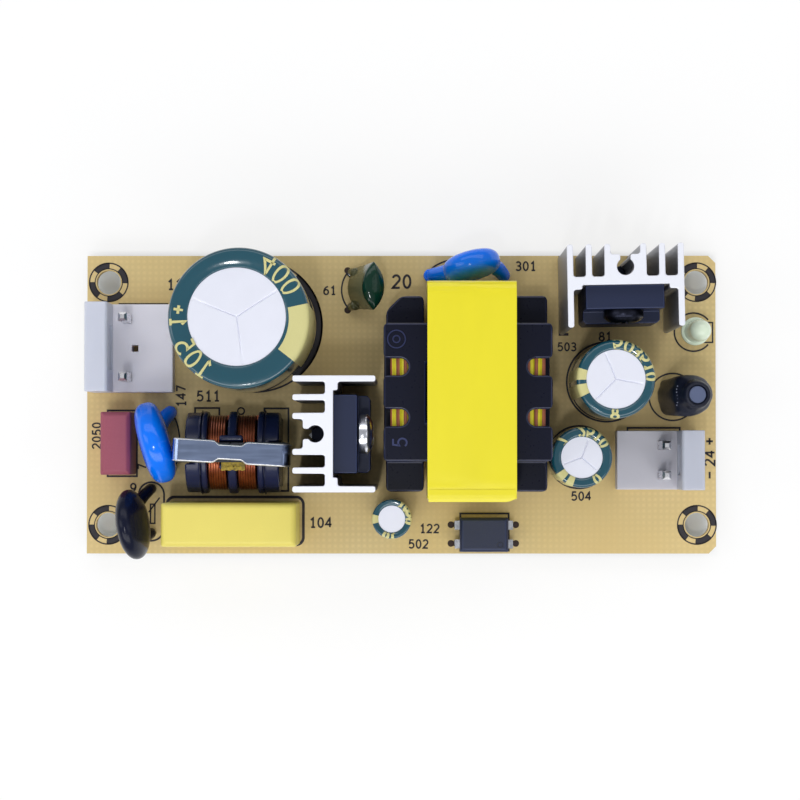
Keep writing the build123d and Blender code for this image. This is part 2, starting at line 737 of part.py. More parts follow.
def screw():
    """A pan-head screw through the package's tab into the heatsink, its shank with few sides."""
    shank = extrude(RegularPolygon(SCREW_RADIUS, FEW_SIDES, major_radius=False), SCREW_LENGTH)
    head = faceted([
        (SCREW_HEAD_RADIUS, 0),
        (SCREW_HEAD_RADIUS, SCREW_HEAD_HEIGHT - SCREW_HEAD_EDGE),
        (SCREW_HEAD_RADIUS - SCREW_HEAD_EDGE, SCREW_HEAD_HEIGHT),
    ], ROUND_SIDES)
    body = shank + Pos(0, 0, SCREW_LENGTH) * head
    start = PACKAGE_TAB_THICKNESS - SCREW_LENGTH
    return Pos(0, start, screw_height()) * Rot(-90, 0, 0) * body


def sink_assembly(x, y, turn):
    """Heatsink, package, screw, package leads and the pin in the heatsink's channel."""
    plan = Pos(x, y, 0) * Rot(0, 0, turn)
    seat = Pos(0, 0, BOARD_THICKNESS)
    leads = [placed(lead, plan) for lead in package_leads()]
    pin = wire(0, -SINK_CHANNEL_DEPTH, BOARD_THICKNESS + SINK_PIN_LENGTH, 2 * SINK_CHANNEL_RADIUS)
    return (
        plan * seat * heatsink(),
        plan * seat * package(),
        plan * seat * screw(),
        leads,
        placed(pin, plan),
    )


def e_core():
    """One E core with its legs up and its yoke on z=0."""
    core = block(0, 0, 0, CORE_DEPTH, CORE_LENGTH, CORE_HALF_HEIGHT)
    window = (CORE_LENGTH - CORE_CENTRE_LEG) / 2 - CORE_OUTER_LEG
    for side in (-1, 1):
        y = side * (CORE_CENTRE_LEG + window) / 2
        core -= block(0, y, CORE_YOKE, CORE_DEPTH, window, CORE_HALF_HEIGHT - CORE_YOKE)
    corners = core.edges().filter_by(Axis.X).sort_by(Axis.Z)[:2]
    return chamfer(corners, CORE_EDGE)


def notch_places():
    """The four notches of the bobbin's top flange: two at each end."""
    return [
        (end * BOBBIN_FLANGE_LENGTH / 2, side * BOBBIN_NOTCH_OFFSET, end)
        for end in (-1, 1)
        for side in (-1, 1)
    ]


def bobbin_heights():
    """The heights above the board of the window's floor and ceiling and of the winding's two ends."""
    floor = CORE_BASE_HEIGHT + CORE_YOKE
    ceiling = CORE_BASE_HEIGHT + 2 * CORE_HALF_HEIGHT - CORE_YOKE
    low = floor + BOBBIN_CORE_GAP + BOBBIN_FLANGE
    high = ceiling - BOBBIN_CORE_GAP - BOBBIN_FLANGE
    return floor, ceiling, low, high


def transformer_bobbin():
    """The bobbin: a square tube with two flanges and two pin rails."""
    floor, ceiling, low, high = bobbin_heights()
    gap = BOBBIN_CORE_GAP
    start = floor + gap
    height = ceiling - floor - 2 * gap
    hole_x = CORE_DEPTH + 2 * gap
    hole_y = CORE_CENTRE_LEG + 2 * gap
    body = block(0, 0, start, hole_x + 2 * BOBBIN_TUBE_WALL, hole_y + 2 * BOBBIN_TUBE_WALL, height)
    for base in (start, high):
        flange = block(0, 0, base, BOBBIN_FLANGE_LENGTH, BOBBIN_FLANGE_WIDTH, BOBBIN_FLANGE)
        body += flange
    for x, y, end in notch_places():
        reach = BOBBIN_NOTCH_DEPTH - BOBBIN_NOTCH_WIDTH / 2
        body -= block(x - end * reach / 2, y, high, reach, BOBBIN_NOTCH_WIDTH, BOBBIN_FLANGE)
        body -= post(x - end * reach, y, high, BOBBIN_NOTCH_WIDTH / 2, BOBBIN_FLANGE)
    rail = RAIL_SPAN / 2 - max(CORE_DEPTH, TAPE_WIDTH) / 2 - RAIL_TAPE_GAP
    for side in (-1, 1):
        x = side * (RAIL_SPAN - rail) / 2
        piece = block(x, 0, 0, rail, RAIL_LENGTH, start)
        if side < 0:
            corner = piece.edges().filter_by(Axis.Z).sort_by(Axis.X)[:2].sort_by(Axis.Y)[-1]
            piece = chamfer(corner, RAIL_CHAMFER)
        body += piece
    body -= block(0, 0, start, hole_x, hole_y, height)
    return Pos(TRANSFORMER_X, TRANSFORMER_Y, BOARD_THICKNESS) * body


def transformer_coils():
    """The copper winding between the flanges and the wrap around it."""
    floor, ceiling, low, high = bobbin_heights()
    inner_x = CORE_DEPTH + 2 * BOBBIN_CORE_GAP + 2 * BOBBIN_TUBE_WALL
    inner_y = CORE_CENTRE_LEG + 2 * BOBBIN_CORE_GAP + 2 * BOBBIN_TUBE_WALL
    outer_x = BOBBIN_FLANGE_LENGTH - 2 * COIL_INSET
    outer_y = BOBBIN_FLANGE_WIDTH - 2 * COIL_INSET
    coil_x = outer_x - 2 * WRAP_THICKNESS
    coil_y = outer_y - 2 * WRAP_THICKNESS
    corner = (outer_y - inner_y) / 4
    coil = Rectangle(coil_x, coil_y)
    coil = chamfer(coil.vertices(), corner)
    wrap = Rectangle(outer_x, outer_y)
    wrap = chamfer(wrap.vertices(), corner + WRAP_THICKNESS * tan(radians(22.5))) - coil
    coil -= Rectangle(inner_x, inner_y)
    place = Pos(TRANSFORMER_X, TRANSFORMER_Y, BOARD_THICKNESS + low)
    return place * extrude(coil, high - low), place * extrude(wrap, high - low)


def transformer_tape():
    """The tape wound round both cores, over their tops and ends."""
    height = 2 * CORE_HALF_HEIGHT
    outer = Box(TAPE_WIDTH, CORE_LENGTH + 2 * TAPE_THICKNESS, height + 2 * TAPE_THICKNESS)
    outer = chamfer(outer.edges().filter_by(Axis.X), CORE_EDGE)
    inner = Box(TAPE_WIDTH, CORE_LENGTH, height)
    inner = chamfer(inner.edges().filter_by(Axis.X), CORE_EDGE)
    middle = BOARD_THICKNESS + CORE_BASE_HEIGHT + CORE_HALF_HEIGHT
    return Pos(TRANSFORMER_X, TRANSFORMER_Y, middle) * (outer - inner)


def transformer_cores():
    """The lower core with its legs up and the upper core turned over on it."""
    place = Pos(TRANSFORMER_X, TRANSFORMER_Y, BOARD_THICKNESS + CORE_BASE_HEIGHT)
    lower = place * e_core()
    upper = place * Pos(0, 0, 2 * CORE_HALF_HEIGHT) * Rot(180, 0, 0) * e_core()
    return lower, upper


def transformer_pins():
    """The pins pressed up into the rails' undersides, one fewer in the second rail."""
    pins = []
    for side, count in ((-1, TRANSFORMER_PINS), (1, TRANSFORMER_PINS - 1)):
        x = TRANSFORMER_X + side * (RAIL_SPAN / 2 - TRANSFORMER_PIN_INSET)
        for index in range(count):
            y = TRANSFORMER_Y + (index - (TRANSFORMER_PINS - 1) / 2) * TRANSFORMER_PIN_PITCH
            pins.append(blade(x, y, BOARD_THICKNESS, TRANSFORMER_PIN, TRANSFORMER_PIN))
    return pins


def led():
    """A round light with a flange and a domed end, on two square leads."""
    base = BOARD_THICKNESS + LED_STANDOFF
    shoulder = LED_HEIGHT - LED_RADIUS
    body = Pos(LED_X, LED_Y, base) * faceted([
        (LED_FLANGE_RADIUS, 0),
        (LED_FLANGE_RADIUS, LED_FLANGE),
        (LED_RADIUS, LED_FLANGE),
        (LED_RADIUS, shoulder),
        (LED_RADIUS * LED_CROWN, LED_HEIGHT),
    ], ROUND_SIDES)
    places = pair(LED_X, LED_Y, LED_PITCH, 90)
    return body, [blade(x, y, base, LED_LEAD, LED_LEAD) for x, y in places]


def inductor():
    """A rod core with its winding in a heat-shrink tube drawn in over its top, leaning to +X."""
    tip = Pos(INDUCTOR_X, INDUCTOR_Y, BOARD_THICKNESS + INDUCTOR_STANDOFF) * Rot(0, INDUCTOR_LEAN, 0)
    core_height = INDUCTOR_HEIGHT - INDUCTOR_SLEEVE_WALL
    coil_radius = INDUCTOR_CORE_RADIUS + INDUCTOR_COIL_BUILD
    radius = coil_radius + INDUCTOR_SLEEVE_WALL
    core = post(0, 0, 0, INDUCTOR_CORE_RADIUS, core_height)
    coil_height = core_height - INDUCTOR_COIL_END
    coil = post(0, 0, 0, coil_radius, coil_height) - post(0, 0, 0, INDUCTOR_CORE_RADIUS, coil_height)
    sleeve = turned([
        (coil_radius, 0),
        (radius, 0),
        (radius, coil_height),
        (INDUCTOR_CORE_RADIUS + INDUCTOR_SLEEVE_WALL, INDUCTOR_HEIGHT),
        (INDUCTOR_MOUTH_RADIUS, INDUCTOR_HEIGHT),
        (INDUCTOR_MOUTH_RADIUS, core_height),
        (INDUCTOR_CORE_RADIUS, core_height),
        (INDUCTOR_CORE_RADIUS, coil_height),
        (coil_radius, coil_height),
    ])
    leads = []
    for x, y in pair(INDUCTOR_X, INDUCTOR_Y, INDUCTOR_PITCH, 90):
        lead = wire(x, y, BOARD_THICKNESS + INDUCTOR_HEIGHT / 2, INDUCTOR_WIRE)
        above = tip * post(0, 0, 0, 2 * radius, INDUCTOR_HEIGHT)
        lead.solid = lead.solid - above
        leads.append(lead)
    return tip * core, tip * coil, tip * sleeve, leads


def coupler():
    """A four-lead coupler with drafted halves, an index notch and leads bent down at its ends."""
    middle = BOARD_THICKNESS + COUPLER_STANDOFF + COUPLER_HEIGHT / 2
    body = Pos(COUPLER_X, COUPLER_Y, middle) * Box(COUPLER_LENGTH, COUPLER_WIDTH, COUPLER_HEIGHT)
    body = chamfer(top_edges(body), COUPLER_EDGE)
    leads = []
    thickness = COUPLER_BLADE_THICKNESS
    for side in (-1, 1):
        for row in (-1, 1):
            x = COUPLER_X + side * COUPLER_ROW_SPACING / 2
            y = COUPLER_Y + row * COUPLER_PITCH / 2
            lead = blade(x, y, middle + thickness / 2, thickness, COUPLER_BLADE_WIDTH)
            shoulder_base = BOARD_THICKNESS + COUPLER_STANDOFF
            shoulder_height = middle + thickness / 2 - shoulder_base
            lead.solid += block(x, y, shoulder_base, thickness, COUPLER_SHOULDER_WIDTH, shoulder_height)
            reach = COUPLER_ROW_SPACING / 2 - COUPLER_LENGTH / 2
            arm_x = x - side * reach / 2
            lead.solid += Pos(arm_x, y, middle) * Box(reach, COUPLER_SHOULDER_WIDTH, thickness)
            leads.append(lead)
    return body, leads


def flat_package(x, y, length, width, thickness, rows, pitch, span, lead_width):
    """A surface-mounted package under the board, with its leads bent up to the board."""
    gap = PAD_THICKNESS
    body = Pos(x, y, -gap) * Box(length, width, thickness, align=HANG)
    blade_thickness = CHIP_LEAD_THICKNESS
    arm_z = -gap - thickness / 2
    for side in (-1, 1):
        for index in range(rows):
            lead_x = x + (index - (rows - 1) / 2) * pitch
            drop_y = y + side * (span / 2 - CHIP_FOOT)
            half = (width / 2 + span / 2 - CHIP_FOOT) / 2 + blade_thickness / 2
            arm = abs(span / 2 - CHIP_FOOT - width / 2) + blade_thickness
            body += Pos(lead_x, y + side * half, arm_z) * Box(lead_width, arm, blade_thickness)
            body += Pos(lead_x, drop_y + side * blade_thickness / 2, arm_z) * Box(
                lead_width, blade_thickness, thickness / 2 + gap, align=STAND
            )
            foot_y = y + side * (span - CHIP_FOOT) / 2
            body += Pos(lead_x, foot_y, 0) * Box(lead_width, CHIP_FOOT, blade_thickness, align=HANG)
    return body


def chip_parts():
    """Small resistors and capacitors soldered to the underside."""
    parts = []
    for x, y, angle in SMALL_PART_PLACES:
        chip = Box(SMALL_PART_LENGTH, SMALL_PART_WIDTH, SMALL_PART_THICKNESS, align=HANG)
        parts.append(Pos(x, y, 0) * Rot(0, 0, angle) * chip)
    return parts


def write(name, solids):
    """Write one node, a single solid or a group of like solids."""
    if isinstance(solids, list):
        solids = Compound(children=[solid for item in solids for solid in item.solids()])
    export_step(solids, f"parts/{name}.step")


def header(name, x, y, turn, positions, empty_position):
    """A header's housing and pins in their place on the board."""
    plan = Pos(x, y, 0) * Rot(0, 0, turn)
    write(name, plan * Pos(0, 0, BOARD_THICKNESS) * header_housing(positions, empty_position))
    return [placed(pin, plan) for pin in header_pins(positions, empty_position)]


def main():
    """Build every node and write it."""
    os.makedirs("parts", exist_ok=True)
    leads = {}
    leads["header_pins"] = header(
        "input_header", INPUT_HEADER_X, INPUT_HEADER_Y, 0, INPUT_POSITIONS, INPUT_EMPTY_POSITION
    )
    leads["header_pins"] += header(
        "output_header", OUTPUT_HEADER_X, OUTPUT_HEADER_Y, 180, OUTPUT_POSITIONS, None
    )
    body, leads["fuse_leads"] = fuse()
    write("fuse_body", body)
    body, leads["varistor_leads"] = dipped_disc(
        VARISTOR_X, VARISTOR_Y, VARISTOR_DIAMETER, VARISTOR_THICKNESS, VARISTOR_PITCH,
        VARISTOR_CENTRE_HEIGHT, VARISTOR_LEAN, VARISTOR_SLIDE, VARISTOR_ANGLE, VARISTOR_WIRE,
    )
    write("varistor_disc", body)
    body, leads["thermistor_leads"] = dipped_disc(
        THERMISTOR_X, THERMISTOR_Y, THERMISTOR_DIAMETER, THERMISTOR_THICKNESS, THERMISTOR_PITCH,
        THERMISTOR_CENTRE_HEIGHT, THERMISTOR_LEAN, THERMISTOR_SLIDE, THERMISTOR_ANGLE, THERMISTOR_WIRE,
    )
    write("thermistor_disc", body)
    body, leads["y_capacitor_leads"] = dipped_disc(
        Y_CAPACITOR_X, Y_CAPACITOR_Y, Y_CAPACITOR_DIAMETER, Y_CAPACITOR_THICKNESS, Y_CAPACITOR_PITCH,
        Y_CAPACITOR_CENTRE_HEIGHT, Y_CAPACITOR_LEAN, Y_CAPACITOR_SLIDE, Y_CAPACITOR_ANGLE, Y_CAPACITOR_WIRE,
    )
    write("y_capacitor_disc", body)

    bobbin, cores, coils, clip, leads["choke_pins"] = choke()
    write("choke_bobbin", bobbin)
    write("choke_core_left", cores[0])
    write("choke_core_right", cores[1])
    write("choke_winding_left", coils[0])
    write("choke_winding_right", coils[1])
    write("choke_clip", clip)

    body, leads["x_capacitor_leads"] = x_capacitor()
    write("x_capacitor_case", body)

    second_x = TRANSFORMER_X + RAIL_SPAN / 2 + SECOND_RAIL_GAP + SECOND_DIAMETER / 2
    capacitor_leads = []
    for name, values in (
        ("main", (MAIN_X, MAIN_Y, MAIN_DIAMETER, MAIN_HEIGHT, MAIN_DISC, MAIN_PITCH, MAIN_WIRE,
                  MAIN_ANGLE, MAIN_LEAD_SHIFT)),
        ("output", (OUTPUT_X, OUTPUT_Y, OUTPUT_DIAMETER, OUTPUT_HEIGHT, OUTPUT_DISC, OUTPUT_PITCH,
                    OUTPUT_WIRE, OUTPUT_ANGLE, 0)),
        ("second", (second_x, SECOND_Y, SECOND_DIAMETER, SECOND_HEIGHT, SECOND_DISC, SECOND_PITCH,
                    SECOND_WIRE, SECOND_ANGLE, 0)),
        ("supply", (SUPPLY_X, SUPPLY_Y, SUPPLY_DIAMETER, SUPPLY_HEIGHT, SUPPLY_DISC, SUPPLY_PITCH,
                    SUPPLY_WIRE, SUPPLY_ANGLE, 0)),
    ):
        can, sleeve, wires = electrolytic(*values)
        write(f"{name}_capacitor_can", can)
        write(f"{name}_capacitor_sleeve", sleeve)
        capacitor_leads += wires
    leads["electrolytic_leads"] = capacitor_leads

    body, leads["film_capacitor_leads"] = film_capacitor()
    write("film_capacitor_body", body)

    sink, body, switch_screw, leads["switch_transistor_leads"], switch_pin = sink_assembly(
        SWITCH_SEAT_X, SWITCH_SEAT_Y, SWITCH_SINK_ANGLE
    )
    write("switch_heatsink", sink)
    write("switch_transistor", body)
    sink, body, rectifier_screw, leads["rectifier_diode_leads"], rectifier_pin = sink_assembly(
        RECTIFIER_SEAT_X, RECTIFIER_SEAT_Y, RECTIFIER_SINK_ANGLE
    )
    write("rectifier_heatsink", sink)
    write("rectifier_diode", body)
    write("heatsink_screws", [switch_screw, rectifier_screw])
    leads["heatsink_pins"] = [switch_pin, rectifier_pin]

    write("transformer_bobbin", transformer_bobbin())
    coil, wrap = transformer_coils()
    write("transformer_winding", coil)
    write("transformer_wrap", wrap)
    write("transformer_tape", transformer_tape())
    lower, upper = transformer_cores()
    write("transformer_core_bottom", lower)
    write("transformer_core_top", upper)
    leads["transformer_pins"] = transformer_pins()

    body, leads["indicator_led_leads"] = led()
    write("indicator_led", body)
    core, coil, sleeve, leads["inductor_leads"] = inductor()
    write("inductor_core", core)
    write("inductor_winding", coil)
    write("inductor_sleeve", sleeve)
    body, leads["optocoupler_leads"] = coupler()
    write("optocoupler_body", body)

    write("bridge_rectifier", flat_package(
        BRIDGE_X, BRIDGE_Y, BRIDGE_LENGTH, BRIDGE_WIDTH, BRIDGE_THICKNESS,
        2, BRIDGE_LEAD_PITCH, BRIDGE_LEAD_SPAN, BRIDGE_LEAD_WIDTH,
    ))
    write("control_chip", flat_package(
        CHIP_X, CHIP_Y, CHIP_LENGTH, CHIP_WIDTH, CHIP_THICKNESS,
        4, CHIP_LEAD_PITCH, CHIP_LEAD_SPAN, CHIP_LEAD_WIDTH,
    ))
    write("chip_parts", chip_parts())

    every_lead = []
    for name, group in leads.items():
        write(name, [lead.solid for lead in group])
        every_lead += group
    write("solder_fillets", solder_fillets(every_lead))
    write("circuit_board", circuit_board(every_lead))


main()
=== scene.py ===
"""Looks of an open-frame power supply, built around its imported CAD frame.

Shapes are worked out in millimetres, in the frame's own axes, and become metres in the mesh.
"""

import math

import bmesh
import bpy
import numpy as np
from bpy.props import FloatProperty, FloatVectorProperty, IntProperty, PointerProperty
from mathutils import Matrix, Vector


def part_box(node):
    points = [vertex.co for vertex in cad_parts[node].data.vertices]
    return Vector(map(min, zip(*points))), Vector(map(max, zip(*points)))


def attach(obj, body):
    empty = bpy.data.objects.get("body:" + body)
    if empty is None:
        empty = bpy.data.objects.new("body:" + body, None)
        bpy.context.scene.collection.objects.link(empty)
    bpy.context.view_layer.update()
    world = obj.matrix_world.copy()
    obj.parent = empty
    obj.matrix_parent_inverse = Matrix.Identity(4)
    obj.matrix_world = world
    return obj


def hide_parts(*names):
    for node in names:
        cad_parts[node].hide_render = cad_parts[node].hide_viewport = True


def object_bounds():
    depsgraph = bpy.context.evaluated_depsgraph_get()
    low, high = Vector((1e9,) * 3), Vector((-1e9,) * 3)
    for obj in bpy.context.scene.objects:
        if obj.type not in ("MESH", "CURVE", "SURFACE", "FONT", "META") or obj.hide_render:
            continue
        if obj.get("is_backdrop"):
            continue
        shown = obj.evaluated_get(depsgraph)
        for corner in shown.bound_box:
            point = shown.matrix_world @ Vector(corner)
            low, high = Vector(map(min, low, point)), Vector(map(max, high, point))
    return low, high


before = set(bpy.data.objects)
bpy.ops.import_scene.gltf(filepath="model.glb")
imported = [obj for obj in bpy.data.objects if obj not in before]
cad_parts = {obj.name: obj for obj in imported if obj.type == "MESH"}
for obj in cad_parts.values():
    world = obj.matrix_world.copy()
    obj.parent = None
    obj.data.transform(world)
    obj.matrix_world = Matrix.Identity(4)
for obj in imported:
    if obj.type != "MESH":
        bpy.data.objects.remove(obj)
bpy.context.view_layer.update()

bl_info = {
    "name": "Power supply looks",
    "version": (1, 0, 0),
    "blender": (4, 5, 0),
    "location": "3D View > Sidebar > Supply",
    "description": "Dresses the packed power supply board with its finishes and fine pieces",
    "category": "Object",
}

MM = 0.001
TAU = 2 * math.pi
BOARD_TOP = 1.6
WELD = 1e-7
CAD_WELD = 1e-6
FLAT_ANGLE = math.radians(1)
EDGE_ANGLE = math.radians(25)
EDGE_ROOM = 0.46
STROKE_STEP = 0.3


# Colours and sizes that a user would change

def tint(red, green, blue):
    """A display colour of 0 to 255 as the linear colour that Blender works in."""
    display = np.array([red, green, blue]) / 255
    linear = np.where(display <= 0.04045, display / 12.92, ((display + 0.055) / 1.055) ** 2.4)
    return tuple(float(value) for value in linear)


def colour(label, about, red, green, blue):
    """A colour property with its default given as a display colour."""
    return FloatVectorProperty(
        name=label, description=about, subtype="COLOR", size=3, min=0, max=1,
        default=tint(red, green, blue),
    )


def length(label, about, millimetres):
    """A length property in metres with its default given in millimetres."""
    return FloatProperty(
        name=label, description=about, default=millimetres * MM, min=0, unit="LENGTH", precision=5,
    )


def amount(label, about, default, least=0.0, **more):
    """A plain number with its least value."""
    return FloatProperty(name=label, description=about, default=default, min=least, **more)


def spot(label, about, place):
    """A place in metres."""
    return FloatVectorProperty(
        name=label, description=about, subtype="TRANSLATION", unit="LENGTH", default=place,
    )


class BoardLooks(bpy.types.PropertyGroup):
    laminate: colour("Laminate", "Bare top face of the board", 223, 200, 142)
    ink: colour("Ink", "Printed outlines and numbers", 40, 36, 42)
    mask: colour("Mask", "Lacquer over the tracks on the underside", 22, 84, 44)
    track: colour("Tracks", "Lacquer where copper lies under it", 40, 128, 66)
    solder: colour("Solder", "Solder and tinned wire", 200, 202, 208)
    pins: colour("Header pins", "Tinned brass of the header pins", 226, 226, 230)
    ink_thickness: length("Ink thickness", "How far the print stands proud of the board", 0.03)
    weave_pitch: length("Weave pitch", "Distance between the threads that show in the laminate", 0.79)
    line_weight: amount("Line weight", "Boldness of the printed lines", 1.25, 0.1)


class CapacitorLooks(bpy.types.PropertyGroup):
    sleeve: colour("Sleeve", "Shrunk sleeve round each can", 18, 74, 90)
    sleeve_print: colour("Sleeve print", "Band and numbers printed on the sleeves", 206, 200, 138)
    can: colour("Can", "Bare aluminium of the can tops", 227, 229, 241)
    boxed: colour("Boxed capacitor", "Moulded box of the film capacitor", 226, 211, 102)
    film: colour("Dipped film", "Green dipped film capacitor", 8, 52, 38)
    varistor: colour("Varistor", "Blue dipped discs", 3, 116, 249)
    thermistor: colour("Thermistor", "Black dipped disc", 18, 22, 42)
    score_depth: length("Score depth", "Depth of the vent scored in each can top", 0.16)
    rim_radius: length("Rim radius", "Rounding of the sleeve over the can's rim", 0.6)


class WoundLooks(bpy.types.PropertyGroup):
    tape: colour("Core tape", "Tape round the transformer cores", 231, 218, 26)
    bobbin: colour("Bobbins", "Moulded bobbins", 11, 15, 35)
    copper: colour("Copper", "Enamelled copper wire", 168, 92, 58)
    clip: colour("Clip", "Spring clip over the choke", 150, 166, 200)
    ferrite: colour("Ferrite", "Ferrite cores", 32, 34, 44)
    rod: colour("Rod core", "End of the output inductor's rod core", 84, 95, 126)
    shrink: colour("Shrink tube", "Tube over the output inductor", 22, 26, 42)
    wire: length("Choke wire", "Diameter of the choke's wire", 0.36)
    turns: IntProperty(
        name="Choke turns", description="Turns of wire in each section", default=7, min=1,
    )
    creases: length("Tape creases", "Height of the creases in the core tape", 0.05)


class HardwareLooks(bpy.types.PropertyGroup):
    nylon: colour("Headers", "Nylon of both headers", 197, 201, 215)
    fuse: colour("Fuse", "Moulded fuse case", 152, 74, 92)
    aluminium: colour("Heatsinks", "Sawn ends of the extruded aluminium", 240, 242, 251)
    package: colour("Packages", "Moulded power packages", 24, 34, 64)
    lens: colour("Indicator", "Lens of the indicator light", 236, 253, 226)
    black_screw: colour("Black screw", "The rectifier's screw", 40, 42, 54)
    edge: length("Edge rounding", "Rounding of moulded and extruded edges", 0.12)
    fin_end: length("Fin ends", "Rounding of the fins' ends", 0.36)


class StageLooks(bpy.types.PropertyGroup):
    camera: spot("Camera", "Place of the camera", (0.001313, -0.007014, 0.3416))
    aim: spot("Aim", "Point the camera looks at", (-0.00032, 0.00047, 0.0016))
    lens: amount("Lens", "Focal length on a 36 mm sensor", 112.5, 1, unit="CAMERA")
    studio: amount("Studio lights", "Brightness of the soft lights", 2.2)
    key: amount("Key light", "Brightness of the small light over the front", 80)
    sky: amount("Sky", "Brightness of the light from all round", 0.4)
    floor: colour("Floor", "Pale floor", 250, 250, 250)


# Meshes

def merged(mesh):
    """Joins doubled points and turns every face outwards."""
    work = bmesh.new()
    work.from_mesh(mesh)
    bmesh.ops.remove_doubles(work, verts=work.verts, dist=WELD)
    bmesh.ops.dissolve_degenerate(work, edges=work.edges, dist=WELD / 10)
    bmesh.ops.recalc_face_normals(work, faces=work.faces)
    work.to_mesh(mesh)
    work.free()


def linked(name, data):
    """A new object with its data, in the scene."""
    piece = bpy.data.objects.new(name, data)
    bpy.context.scene.collection.objects.link(piece)
    return piece


def solid(name, grids, loop, crease):
    """A mesh of closed tubes: each grid holds rows of section points along a path, in millimetres.

    loop joins the last row to the first; otherwise the first and last rows are closed with a face.
    """
    spots, faces, start = [], [], 0
    for grid in grids:
        rows, columns = grid.shape[:2]
        index = np.arange(rows * columns).reshape(rows, columns) + start
        down = np.vstack([index, index[:1]]) if loop else index
        across = np.hstack([down, down[:, :1]])
        quads = np.stack([across[:-1, :-1], across[1:, :-1], across[1:, 1:], across[:-1, 1:]], -1)
        faces += quads.reshape(-1, 4).tolist()
        if not loop:
            faces += [index[0].tolist(), index[-1][::-1].tolist()]
        spots.append(grid.reshape(-1, 3))
        start += rows * columns
    mesh = bpy.data.meshes.new(name)
    mesh.from_pydata((np.vstack(spots) * MM).tolist(), [], faces)
    merged(mesh)
    mesh.shade_smooth()
    mesh.set_sharp_from_angle(angle=math.radians(crease))
    return linked(name, mesh)


def unit(vectors):
    """The same directions, each of length one."""
    return vectors / np.linalg.norm(vectors, axis=-1, keepdims=True)


def points(x, y, z):
    """Points of three coordinates, each given in a shape that spreads to the shape of all."""
    return np.stack(np.broadcast_arrays(x, y, z), -1)


def polar(radius, angle, height):
    """Points at a radius and an angle about the vertical, and at a height."""
    return points(radius * np.cos(angle), radius * np.sin(angle), height)


def round_angles(steps):
    """Angles all the way round, in one row."""
    return (np.arange(steps) * TAU / steps)[None]


def revolved(profile, centre=(0, 0, 0), steps=96, start=0.0, sweep=TAU):
    """Rows of a closed profile of radius and height, turned about the vertical through centre."""
    reach, rise = np.array(profile, float).T
    angle = start + np.linspace(0, sweep, steps, endpoint=sweep != TAU)[:, None]
    return polar(reach, angle, rise) + np.asarray(centre, float)


def carried(path, section, closed=False):
    """Rows of a section, points of side and rise, carried along a path with its side kept level.

    At each point the side runs square to the path's run, halfway between the runs before and after
    it, and is lengthened at a corner by one over the cosine of half the turn, at most twice.
    """
    path = np.asarray(path, float)
    section = np.asarray(section, float)
    ahead = np.roll(path, -1, 0) - path
    behind = path - np.roll(path, 1, 0)
    if not closed:
        ahead[-1] = behind[-1]
        behind[0] = ahead[0]
    ahead = unit(ahead)
    run = unit(ahead + unit(behind))
    steep = np.abs(run[:, 2:3]) > 0.9
    side = unit(np.cross(run, np.where(steep, [[1.0, 0, 0]], [[0, 0, 1.0]])))
    rise = np.cross(side, run)
    mitre = 1 / np.maximum((run * ahead).sum(1), 0.5)[:, None, None]
    return (
        path[:, None]
        + side[:, None] * section[None, :, :1] * mitre
        + rise[:, None] * section[None, :, 1:]
    )


def ribbon(path, width, low, high, height=0.0, closed=False):
    """A strip along a level path, from one rise above its height to another."""
    line = np.column_stack([path, np.full(len(path), height)])
    half = width / 2
    return carried(line, [(-half, low), (half, low), (half, high), (-half, high)], closed)


def circle(radius, steps=12):
    """Points of side and rise round a circle."""
    angle = np.arange(steps) * TAU / steps
    return np.stack([radius * np.cos(angle), radius * np.sin(angle)], 1)


def arc(x, y, across, up, start, end, steps=20):
    """Level points on an ellipse from one angle to another, in degrees."""
    angle = np.radians(np.linspace(start, end, steps))
    return np.stack([x + across * np.cos(angle), y + up * np.sin(angle)], 1)


def rounded(x0, y0, x1, y1, radius):
    """Level points round a rectangle whose corners have the given radius."""
    corners = [(x1 - radius, y0 + radius, -90), (x1 - radius, y1 - radius, 0),
               (x0 + radius, y1 - radius, 90), (x0 + radius, y0 + radius, 180)]
    return np.vstack([arc(cx, cy, radius, radius, at, at + 90, 8) for cx, cy, at in corners])


def strokes(character):
    """The strokes of a number or sign, one unit tall and about 0.6 wide, as points."""
    ring = arc(0.3, 0.3, 0.27, 0.3, 0, 360)
    hook = arc(0.62, 0.34, 0.59, 0.64, 98, 180)
    level = [(0, 0.5), (0.6, 0.5)]
    lines = {
        "0": [arc(0.3, 0.5, 0.27, 0.5, 0, 360)],
        "1": [[(0.1, 0.76), (0.34, 1), (0.34, 0)], [(0.12, 0), (0.56, 0)]],
        "2": [np.vstack([arc(0.3, 0.72, 0.27, 0.28, 165, -35), [(0.02, 0), (0.58, 0)]])],
        "3": [np.vstack([
            arc(0.28, 0.76, 0.25, 0.24, 150, -85), arc(0.28, 0.26, 0.29, 0.26, 85, -150),
        ])],
        "4": [[(0.44, 0), (0.44, 1), (0, 0.3), (0.62, 0.3)]],
        "5": [np.vstack([
            [(0.54, 1), (0.12, 1), (0.06, 0.55)], arc(0.27, 0.32, 0.3, 0.31, 125, -145),
        ])],
        "6": [ring, hook],
        "7": [[(0.02, 1), (0.58, 1), (0.2, 0)]],
        "8": [arc(0.3, 0.76, 0.22, 0.24, -90, 270), arc(0.3, 0.26, 0.28, 0.26, -90, 270)],
        "9": [[0.6, 1] - ring, [0.6, 1] - hook],
        "+": [level, [(0.3, 0.2), (0.3, 0.8)]],
        "-": [level],
    }
    return [np.array(line, float) for line in lines[character]]


